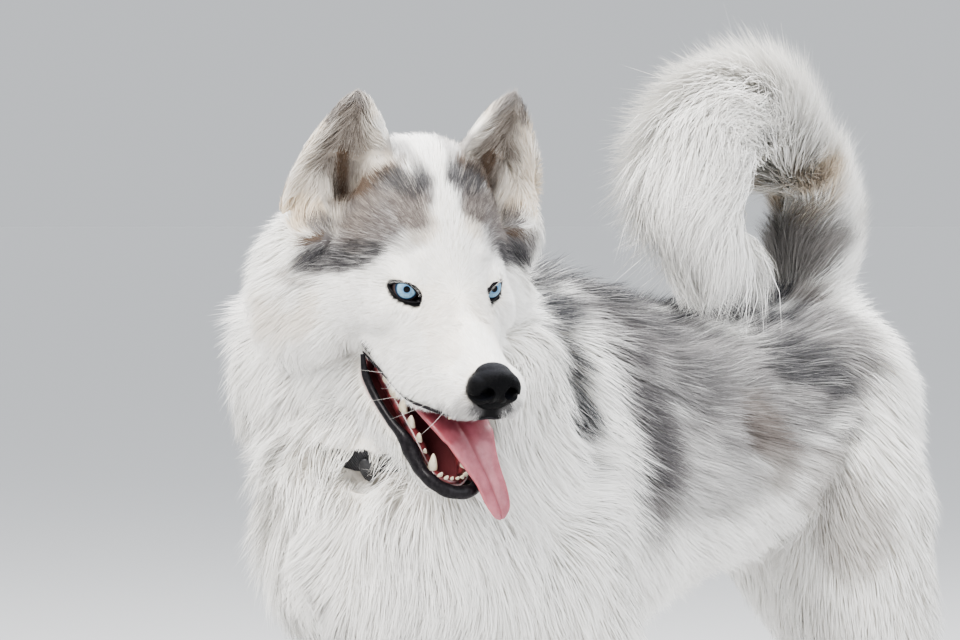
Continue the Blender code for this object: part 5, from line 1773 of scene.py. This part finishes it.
CLAW_LENGTH = 0.019
CLAW_RADIUS = 0.0037
claws = Skins()
for stations, side in LEGS.values():
    left, rear = paw_place(stations, side)
    for across, ahead in TOES:
        root_at = np.array((left + across * PAW_WIDTH, rear - (ahead + 0.12) * PAW_LENGTH, 0.0165))
        way = unit((across * 0.25, -1, -0.35))
        rings = []
        for t in (-0.3, 0, 0.25, 0.5, 0.75, 0.92, 1.0):
            size = CLAW_RADIUS * (1 - 0.86 * max(t, 0) ** 1.4)
            centre = root_at + way * CLAW_LENGTH * t - np.array((0, 0, 0.0045)) * t * t
            rings.append(ring_across(centre, way, (0, 0, 1), size * 0.8, size, 12))
        claws.rings(rings)
pieces["claws"] = claws.piece("claws", BODY)
print("pieces:", ", ".join(pieces))

# %% [markdown]
# ## Shader building
# Each finish is one shader fed by a few nodes. A small helper makes a node, sets its
# settings and then either links an input or gives it a plain value, so that a finish reads
# as a list of what feeds what.

# %% Shader helpers
FLOAT, COLOUR = "NodeSocketFloat", "NodeSocketColor"


def material(name):
    made = bpy.data.materials.new(name)
    made.use_nodes = True
    return made, made.node_tree, made.node_tree.nodes["Principled BSDF"]


def feed(tree, made, inputs):
    """Link the inputs of a node to sockets, or give them plain values."""
    for key, value in dict(inputs).items():
        socket = made.inputs[key]
        if isinstance(value, bpy.types.NodeSocket):
            tree.links.new(value, socket)
        else:
            socket.default_value = value


def node(tree, kind, inputs=(), **settings):
    made = tree.nodes.new("ShaderNode" + kind)
    for key, value in settings.items():
        setattr(made, key, value)
    feed(tree, made, inputs)
    return made


def mixed(tree, factor, a, b):
    """A mix of two colours."""
    return node(tree, "Mix", {0: factor, 6: a, 7: b}, data_type="RGBA").outputs[2]


def maths(tree, operation, a, b=0.0):
    return node(tree, "Math", {0: a, 1: b}, operation=operation).outputs[0]


def vectors(tree, operation, a, b=(0, 0, 0), output=0):
    return node(tree, "VectorMath", {0: a, 1: b}, operation=operation).outputs[output]


def ranged(tree, value, low=0.0, high=1.0, to_low=0.0, to_high=1.0, kind="LINEAR"):
    """A value brought from one range to another, and kept inside it."""
    made = node(tree, "MapRange", {0: value, 1: low, 2: high, 3: to_low, 4: to_high},
                interpolation_type=kind)
    return made.outputs[0]


def noise(tree, scale, detail, at=None, **more):
    if at is None:
        at = node(tree, "NewGeometry").outputs["Position"]
    return node(tree, "TexNoise", {"Vector": at, "Scale": scale, "Detail": detail, **more}).outputs[0]


def bump(tree, height, strength, distance):
    made = node(tree, "Bump", {"Height": height, "Strength": strength, "Distance": distance})
    return made.outputs[0]


def attribute(tree, name, what="Color"):
    return node(tree, "Attribute", attribute_name=name).outputs[what]


def group(name, inputs, outputs):
    """A shader group with named sockets, and its inlet and outlet."""
    made = bpy.data.node_groups.new(name, "ShaderNodeTree")
    for label, (kind, value) in inputs.items():
        made.interface.new_socket(label, in_out="INPUT", socket_type=kind).default_value = value
    for label, kind in outputs.items():
        made.interface.new_socket(label, in_out="OUTPUT", socket_type=kind)
    return made, made.nodes.new("NodeGroupInput").outputs, made.nodes.new("NodeGroupOutput")


def use_group(tree, kind, **values):
    """Place a group in a material; a low line in a name stands for a space."""
    made = node(tree, "Group", node_tree=kind)
    feed(tree, made, {label.replace("_", " "): value for label, value in values.items()})
    return made


# %% [markdown]
# ## Coat and skin
# The markings come as four inks: cream, smoke, brown and coal. Skin and tufts share one
# shader group that lays them over a ground colour, so a gap between tufts never shows a
# wrong colour. A tuft is yellower at its root, and an inked one is pale there too.

# %% Inks of the markings
WHITE = (0.93, 0.915, 0.885, 1)
WHITE_ROOT = (0.88, 0.855, 0.795, 1)
UNDERCOAT = (0.78, 0.74, 0.68, 1)
BARE_BLACK = (0.0035, 0.0032, 0.0035, 1)
MOUTH_SKIN = (0.13, 0.036, 0.040, 1)

ink_group, inlet, outlet = group(
    "coat ink", {"Ink": (COLOUR, (0, 0, 0, 1)), "Brown": (FLOAT, 0), "Ground": (COLOUR, (0, 0, 0, 1))},
    {"Colour": COLOUR})
parts = node(ink_group, "SeparateColor", {0: inlet["Ink"]}).outputs
colour = inlet["Ground"]
for share, ink_colour in (
    (parts[2], (0.74, 0.60, 0.43, 1)),
    (parts[1], (0.125, 0.112, 0.112, 1)),
    (inlet["Brown"], (0.110, 0.070, 0.045, 1)),
    (parts[0], (0.030, 0.030, 0.034, 1)),
):
    colour = mixed(ink_group, share, colour, ink_colour)
feed(ink_group, outlet, {"Colour": colour})

# %% The coat's finish
coat_look, tree, shader = material("coat")
hair = node(tree, "SeparateColor", {0: attribute(tree, "hair")}).outputs
ground = mixed(tree, ranged(tree, hair[0], 0.0, 0.6), WHITE_ROOT, WHITE)
tone = ranged(tree, hair[1], to_low=0.86, to_high=1.05)
banded = ranged(tree, hair[0], 0.05, 0.45, 0.50, 1.0)
inked = use_group(
    tree, ink_group, Ground=ground,
    Ink=vectors(tree, "MULTIPLY", attribute(tree, "ink"), banded),
    Brown=maths(tree, "MULTIPLY", attribute(tree, "ink", "Alpha"), banded))
streaks = noise(tree, 700.0, 2.0)
feed(tree, shader, {
    "Base Color": vectors(tree, "MULTIPLY", inked.outputs[0], tone),
    "Roughness": ranged(tree, streaks, 0.3, 0.7, 0.50, 0.66),
    "Normal": bump(tree, streaks, 0.15, 0.0003),
    "Specular IOR Level": 0.25,
})
for piece in coat:
    piece.data.materials.append(coat_look)

# %% The skin's finish
write(skin_mesh, "ink", "FLOAT_COLOR", marks)
write(skin_mesh, "wet", "FLOAT_COLOR", np.stack([mouth, black, sole.astype(float), np.ones(len(mouth))], 1))
skin_look, tree, shader = material("skin")
wet = node(tree, "SeparateColor", {0: attribute(tree, "wet")}).outputs
inked = use_group(tree, ink_group, Ground=UNDERCOAT, Ink=attribute(tree, "ink"),
                  Brown=attribute(tree, "ink", "Alpha"))
colour = mixed(tree, wet[1], inked.outputs[0], BARE_BLACK)
pores = noise(tree, 900.0, 3.0)
feed(tree, shader, {
    "Base Color": mixed(tree, wet[0], colour, MOUTH_SKIN),
    "Roughness": ranged(tree, pores, 0.3, 0.7, 0.50, 0.75),
    "Normal": bump(tree, pores, 0.35, 0.0004),
    "Specular IOR Level": 0.12,
})
skin_mesh.materials.clear()
skin_mesh.materials.append(skin_look)
print("inked:", int((marks.max(1) > 0.5).sum()), "corners of the skin")

# %% [markdown]
# ## Wet and grainy parts
# Lips, gums, tongue, teeth, claws and the tag are all uneven: two near colours in soft
# clouds under a fine grain. The nose and the tongue also have pebbles, cells with sunken
# seams, whose colour darkens into the seams as painted shade. Both effects are groups, and each finish gives
# them its own sizes and colours.

# %% Groups for flesh and for pebbled leather
flesh_group, inlet, outlet = group(
    "uneven flesh",
    {"Pale": (COLOUR, (1, 1, 1, 1)), "Deep": (COLOUR, (0, 0, 0, 1)), "Cloud size": (FLOAT, 300.0),
     "Grain size": (FLOAT, 1500.0)},
    {"Colour": COLOUR, "Height": FLOAT})
soft = ranged(flesh_group, noise(flesh_group, inlet["Cloud size"], 3.0), 0.35, 0.65)
feed(flesh_group, outlet, {
    "Colour": mixed(flesh_group, soft, inlet["Deep"], inlet["Pale"]),
    "Height": noise(flesh_group, inlet["Grain size"], 2.0),
})

# The seam colour is darker than the tops: painted shade in the sunken seams.
pebble_group, inlet, outlet = group(
    "pebbled leather",
    {"Pebble size": (FLOAT, 900.0), "Seam": (COLOUR, (0, 0, 0, 1)), "Top": (COLOUR, (0.1, 0.1, 0.1, 1))},
    {"Colour": COLOUR, "Height": FLOAT})
place = node(pebble_group, "NewGeometry").outputs["Position"]
cells = node(pebble_group, "TexVoronoi", {"Vector": place, "Scale": inlet["Pebble size"]},
             feature="DISTANCE_TO_EDGE").outputs[0]
rounded = ranged(pebble_group, cells, 0.0, 0.28)
feed(pebble_group, outlet, {
    "Colour": mixed(pebble_group, rounded, inlet["Seam"], inlet["Top"]), "Height": rounded,
})


def flesh_look(name, pale, deep, sizes, roughness, coat, grain_bump=(0.3, 0.0003), **more):
    """An uneven, more or less wet finish; sizes are those of its clouds and its grain."""
    look, tree, shader = material(name)
    uneven = use_group(tree, flesh_group, Pale=(*pale, 1), Deep=(*deep, 1), Cloud_size=sizes[0],
                       Grain_size=sizes[1])
    feed(tree, shader, {
        "Base Color": uneven.outputs["Colour"],
        "Roughness": ranged(tree, uneven.outputs["Height"], to_low=roughness * 0.8,
                            to_high=roughness * 1.3),
        "Normal": bump(tree, uneven.outputs["Height"], *grain_bump),
        "Coat Weight": coat,
        "Coat Roughness": 0.12,
        **{label.replace("_", " "): value for label, value in more.items()},
    })
    return look


# %% [markdown]
# ## Eyes
# The pale blue iris is a disc of fibres that run out from the pupil, darker in a narrow
# ring round it and at the limbus. Each corner of the ball knows its direction from the
# gaze, so rings are ranges of that radius, and the fibres are noise read round it.

# %% Finish of the eyes
PUPIL = 0.21
IRIS = 0.735
IRIS_DEEP = (0.075, 0.165, 0.25, 1)
IRIS_PALE = (0.26, 0.41, 0.52, 1)
IRIS_INNER = (0.10, 0.20, 0.32, 1)
LIMBUS = (0.010, 0.022, 0.045, 1)
PUPIL_BLACK = (0.002, 0.002, 0.003, 1)
EYE_WHITE = (0.05, 0.035, 0.032, 1)
# Near-black toward the lids and round the back of the ball: partly brown pigment, partly painted shade under
# the lids.
EYE_PIGMENT_AND_SHADE = (0.012, 0.008, 0.008, 1)

eye_look, tree, shader = material("eye")
axes = node(tree, "SeparateXYZ", {0: attribute(tree, "gaze", "Vector")}).outputs
flat = node(tree, "CombineXYZ", {0: axes[0], 1: axes[1]}).outputs[0]
radius = vectors(tree, "LENGTH", flat, output="Value")
inward_depth = node(tree, "CombineXYZ", {2: radius}).outputs[0]
fibre_at = vectors(tree, "ADD", vectors(tree, "NORMALIZE", flat), inward_depth)
fibres = noise(tree, 9.0, 5.0, fibre_at, Roughness=0.7)
wave = maths(tree, "MULTIPLY", maths(tree, "SUBTRACT", fibres, 0.5), 0.07)
uneven_radius = maths(tree, "ADD", radius, wave)
iris = mixed(tree, ranged(tree, fibres, 0.36, 0.62), IRIS_DEEP, IRIS_PALE)
iris = mixed(tree, ranged(tree, uneven_radius, 0.23, 0.38), IRIS_INNER, iris)
iris = mixed(tree, ranged(tree, uneven_radius, 0.55, 0.67, kind="SMOOTHSTEP"), iris, LIMBUS)
iris = mixed(tree, ranged(tree, radius, PUPIL - 0.015, PUPIL + 0.015), PUPIL_BLACK, iris)
# The sclera darkens toward the lids: partly pigment, partly painted shade.
white = mixed(tree, ranged(tree, radius, 0.76, 0.90), EYE_WHITE, EYE_PIGMENT_AND_SHADE)
behind = maths(tree, "SUBTRACT", 1.0, maths(tree, "GREATER_THAN", axes[2], 0.0))
edge = maths(tree, "MAXIMUM", ranged(tree, radius, IRIS - 0.02, IRIS + 0.03), behind)
feed(tree, shader, {
    "Base Color": mixed(tree, edge, iris, white),
    "Roughness": 0.25,
    "Specular IOR Level": 0.0,
    "Coat Weight": 0.28,
    "Coat Roughness": 0.015,
    "Normal": bump(tree, fibres, 0.08, 0.0002),
})

# %% [markdown]
# ## Nose, tongue and the rest
# The nose is black pebbled leather, duller on top and a little paler there, a painted sheen
# of the sky's light from above. The tongue is mauve, redder at its rim, darker and redder in
# its groove and deep in the mouth, which is painted shade, and wet enough for light to pass a little way in.
# The others are uneven flesh with other numbers.

# %% Finish of the nose
# Darker colour for the seams between the pebbles: painted shade in the grooves.
NOSE_SEAM_SHADE = (0.0015, 0.0015, 0.002, 1)
NOSE_TOP = (0.0035, 0.0035, 0.004, 1)
# Paler, bluish tone for the top of the nose: a painted sheen of the sky's light.
NOSE_PAINTED_SHEEN = (0.015, 0.016, 0.021, 1)

nose_look, tree, shader = material("nose leather")
pebbles = use_group(tree, pebble_group, Pebble_size=1250.0, Seam=NOSE_SEAM_SHADE, Top=NOSE_TOP)
facing_up = node(tree, "SeparateXYZ", {0: node(tree, "NewGeometry").outputs["Normal"]}).outputs[2]
# The more the leather faces up, the more it takes that tone: painted sheen from above.
painted_sheen = ranged(tree, facing_up, 0.35, 0.95, to_high=0.8)
feed(tree, shader, {
    "Base Color": mixed(tree, painted_sheen, pebbles.outputs["Colour"], NOSE_PAINTED_SHEEN),
    "Roughness": ranged(tree, facing_up, 0.2, 1.0, 0.36, 0.55),
    "Normal": bump(tree, pebbles.outputs["Height"], 0.55, 0.0003),
    "Specular IOR Level": 0.07,
})

# %% Finish of the tongue
TONGUE_PALE = (0.37, 0.115, 0.140, 1)
TONGUE_DEEP = (0.25, 0.062, 0.080, 1)
# Darker red in the groove along the top: painted shade in the crease.
TONGUE_GROOVE_SHADE = (0.24, 0.045, 0.058, 1)
TONGUE_RIM = (0.40, 0.085, 0.10, 1)
# Darker red toward the back, deep in the mouth: painted shade.
TONGUE_BACK_SHADE = (0.20, 0.03, 0.035, 1)

tongue_look, tree, shader = material("tongue")
lane = node(tree, "SeparateXYZ", {0: attribute(tree, "lane", "Vector")}).outputs
uneven = use_group(tree, flesh_group, Pale=TONGUE_PALE, Deep=TONGUE_DEEP, Cloud_size=110.0,
                   Grain_size=2200.0)
middle_line = maths(tree, "ABSOLUTE", lane[0])
colour = uneven.outputs["Colour"]
for share, flesh_colour in (
    (ranged(tree, middle_line, 0.0, 0.16, 0.75, 0.0, "SMOOTHSTEP"), TONGUE_GROOVE_SHADE),
    (ranged(tree, middle_line, 0.78, 1.0, to_high=0.6), TONGUE_RIM),
    (ranged(tree, lane[1], 0.05, 0.50, 0.6, 0.0), TONGUE_BACK_SHADE),
):
    colour = mixed(tree, share, colour, flesh_colour)
bumps = use_group(tree, pebble_group, Pebble_size=1500.0)
feed(tree, shader, {
    "Base Color": colour,
    "Roughness": ranged(tree, uneven.outputs["Height"], to_low=0.30, to_high=0.5),
    "Normal": bump(tree, bumps.outputs["Height"], 0.35, 0.0003),
    "Coat Weight": 0.55,
    "Coat Roughness": 0.18,
    "Subsurface Weight": 0.25,
    "Subsurface Radius": (1.0, 0.3, 0.2),
    "Subsurface Scale": 0.004,
})

# %% Finishes of flesh, teeth, claws, strap and tag
hair_look = flesh_look("stiff hair", (0.85, 0.83, 0.80), (0.70, 0.67, 0.62), (120.0, 900.0), 0.45, 0.1,
                       (0.1, 0.0003))
LOOKS = {
    "eyeball": eye_look, "nose": nose_look, "tongue": tongue_look,
    "lashes": hair_look, "whiskers": hair_look,
    "lids": flesh_look("lid rim", (0.010, 0.009, 0.010), (0.004, 0.003, 0.004), (900.0, 2600.0), 0.40, 0.05,
                       Specular_IOR_Level=0.12),
    "lip": flesh_look("lip", (0.013, 0.011, 0.013), (0.004, 0.003, 0.004), (350.0, 1400.0), 0.34, 0.12,
                      (0.4, 0.0006), Specular_IOR_Level=0.12),
    "paw": flesh_look("paw pad", (0.020, 0.018, 0.018), (0.006, 0.005, 0.005), (500.0, 1800.0), 0.60, 0.0,
                      (0.6, 0.0006)),
    "gum": flesh_look("gum", (0.20, 0.045, 0.048), (0.030, 0.008, 0.010), (160.0, 900.0), 0.28, 0.5),
    "teeth": flesh_look("tooth", (0.80, 0.74, 0.60), (0.66, 0.57, 0.40), (250.0, 1500.0), 0.22, 0.5,
                        (0.1, 0.0003)),
    "claws": flesh_look("claw", (0.10, 0.085, 0.075), (0.03, 0.025, 0.022), (400.0, 1800.0), 0.45, 0.2),
}
STRAP_DARK = (0.010, 0.010, 0.012, 1)
STRAP_PALE = (0.045, 0.045, 0.050, 1)

strap_look, tree, shader = material("woven strap")
place = node(tree, "NewGeometry").outputs["Position"]
weave = node(tree, "TexWave", {"Vector": place, "Scale": 260.0, "Distortion": 0.6},
             bands_direction="DIAGONAL").outputs["Fac"]
feed(tree, shader, {
    "Base Color": mixed(tree, weave, STRAP_DARK, STRAP_PALE),
    "Normal": bump(tree, weave, 0.6, 0.0004),
    "Roughness": 0.75,
})
tag_look = flesh_look("tag metal", (0.045, 0.046, 0.050), (0.018, 0.018, 0.021), (220.0, 2400.0), 0.34, 0.15,
                      (0.15, 0.0003), Metallic=0.35)


def kind_of(name):
    return name.split("_")[0]


for name, piece in pieces.items():
    piece.data.materials.clear()
    piece.data.materials.append(LOOKS[kind_of(name)])
for name, look in (("collar", strap_look), ("collar_tag", tag_look)):
    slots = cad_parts[name].data.materials
    slots.clear()
    slots.append(look)
print("finishes:", len(bpy.data.materials))

# %% [markdown]
# ## Camera
# A long lens from 2.7 m, a hand's width above the dog's eyes, keeps the head in its
# proportions. The middle of the view lies a little below the horizon.

# %% Camera
VIEW_TURN = math.radians(42)
VIEW_ASIDE = -0.0815
HEAD_DEPTH = -0.300
VIEW_DISTANCE = 2.7
VIEW_HEIGHT = 0.6865
FOCAL_PIXELS = 3780
HORIZON = 185
PICTURE = (960, 640)
SENSOR = 36

view_way = Vector((-math.sin(VIEW_TURN), math.cos(VIEW_TURN), 0))
view_side = Vector((math.cos(VIEW_TURN), math.sin(VIEW_TURN), 0))
camera = placed_object("camera", bpy.data.cameras.new("camera"))
spot = view_side * VIEW_ASIDE + view_way * (HEAD_DEPTH - VIEW_DISTANCE)
camera.location = BODY @ Vector((spot.x, spot.y, VIEW_HEIGHT))
tilt = math.atan((PICTURE[1] / 2 - HORIZON) / FOCAL_PIXELS)
look = view_way * math.cos(tilt) - Vector((0, 0, math.sin(tilt)))
camera.rotation_euler = look.to_track_quat("-Z", "Y").to_euler()
camera.data.sensor_width = SENSOR
camera.data.lens = FOCAL_PIXELS * SENSOR / PICTURE[0]
camera.data.clip_end = 200
bpy.context.scene.camera = camera
print("camera at", [round(c, 3) for c in camera.location])

# %% [markdown]
# ## Studio
# A wide pale floor and an even sky stand for a roll of studio paper. The camera sees the
# sky in the floor's own tone, so that no edge shows where the two meet.

# %% Floor and sky
FLOOR_TONE = 0.55
FLOOR_RADIUS = 60
SKY = 0.72
SKY_COLOUR = (0.93, 0.96, 1.0, 1)
FAR_LIFT = 1.06            # the far floor also mirrors a little of the sky

bm = bmesh.new()
bmesh.ops.create_circle(bm, cap_ends=True, segments=96, radius=FLOOR_RADIUS)
floor_mesh = bpy.data.meshes.new("floor")
bm.to_mesh(floor_mesh)
bm.free()
floor = placed_object("floor", floor_mesh)
floor_look, tree, shader = material("floor")
feed(tree, shader, {
    "Base Color": (FLOOR_TONE, FLOOR_TONE, FLOOR_TONE, 1),
    "Roughness": ranged(tree, noise(tree, 120.0, 2.0), to_low=0.72, to_high=0.88),
})
floor_mesh.materials.append(floor_look)

world = bpy.data.worlds.new("studio")
world.use_nodes = True
seen = node(world.node_tree, "LightPath").outputs["Is Camera Ray"]
feed(world.node_tree, world.node_tree.nodes["Background"], {
    0: SKY_COLOUR,
    1: ranged(world.node_tree, seen, to_low=SKY, to_high=SKY * FLOOR_TONE * FAR_LIFT),
})
bpy.context.scene.world = world

# %% [markdown]
# ## Lamps
# A large key from the left, a cool fill from the right, a rim behind and one overhead. All
# are broad, so that the shadows in the coat stay soft.

# %% Lamps


def lamp(name, place, target, size, power, colour=(1, 1, 1)):
    light = bpy.data.lights.new(name, "AREA")
    light.size = size
    light.energy = power
    light.color = colour
    made = placed_object(name, light)
    made.location = place
    made.rotation_euler = (Vector(target) - Vector(place)).to_track_quat("-Z", "Y").to_euler()


eye_level = BODY @ HEAD_AT
for name, toward, aside, rise, size, power, colour in (
    ("key", 2.0, -1.6, 1.9, 1.6, 105, (1, 0.97, 0.93)),
    ("fill", 2.4, 2.2, 0.5, 2.4, 40, (0.93, 0.96, 1)),
    ("rim", -2.0, 1.2, 2.2, 1.8, 60, (1, 1, 1)),
):
    spot = eye_level - view_way * toward + view_side * aside + Vector((0, 0, rise))
    lamp(name, spot, eye_level, size, power, colour)
lamp("top", (0, 0, 3.0), (0, 0, 0.5), 2.6, 90)
settings = bpy.context.scene.view_settings
settings.view_transform = "AgX"
settings.look = "AgX - Medium High Contrast"
settings.exposure = 0.58

# %% [markdown]
# ## Hand over
# Every piece rides on the one body of the model. The skin takes the place of all the
# flesh, and eyes, nose and tongue take the places of their solids. The collar and its tag
# stay as they are.

# %% Register the pieces
REPLACED = {"eyeball_left": "eye_left", "eyeball_right": "eye_right", "nose_leather": "nose",
            "tongue_wet": "tongue"}
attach(skin, "root")
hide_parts(*FLESH_NODES)
for piece in coat:
    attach(piece, "root")
for name, piece in pieces.items():
    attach(piece, "root")
for name, solid in REPLACED.items():
    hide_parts(solid)
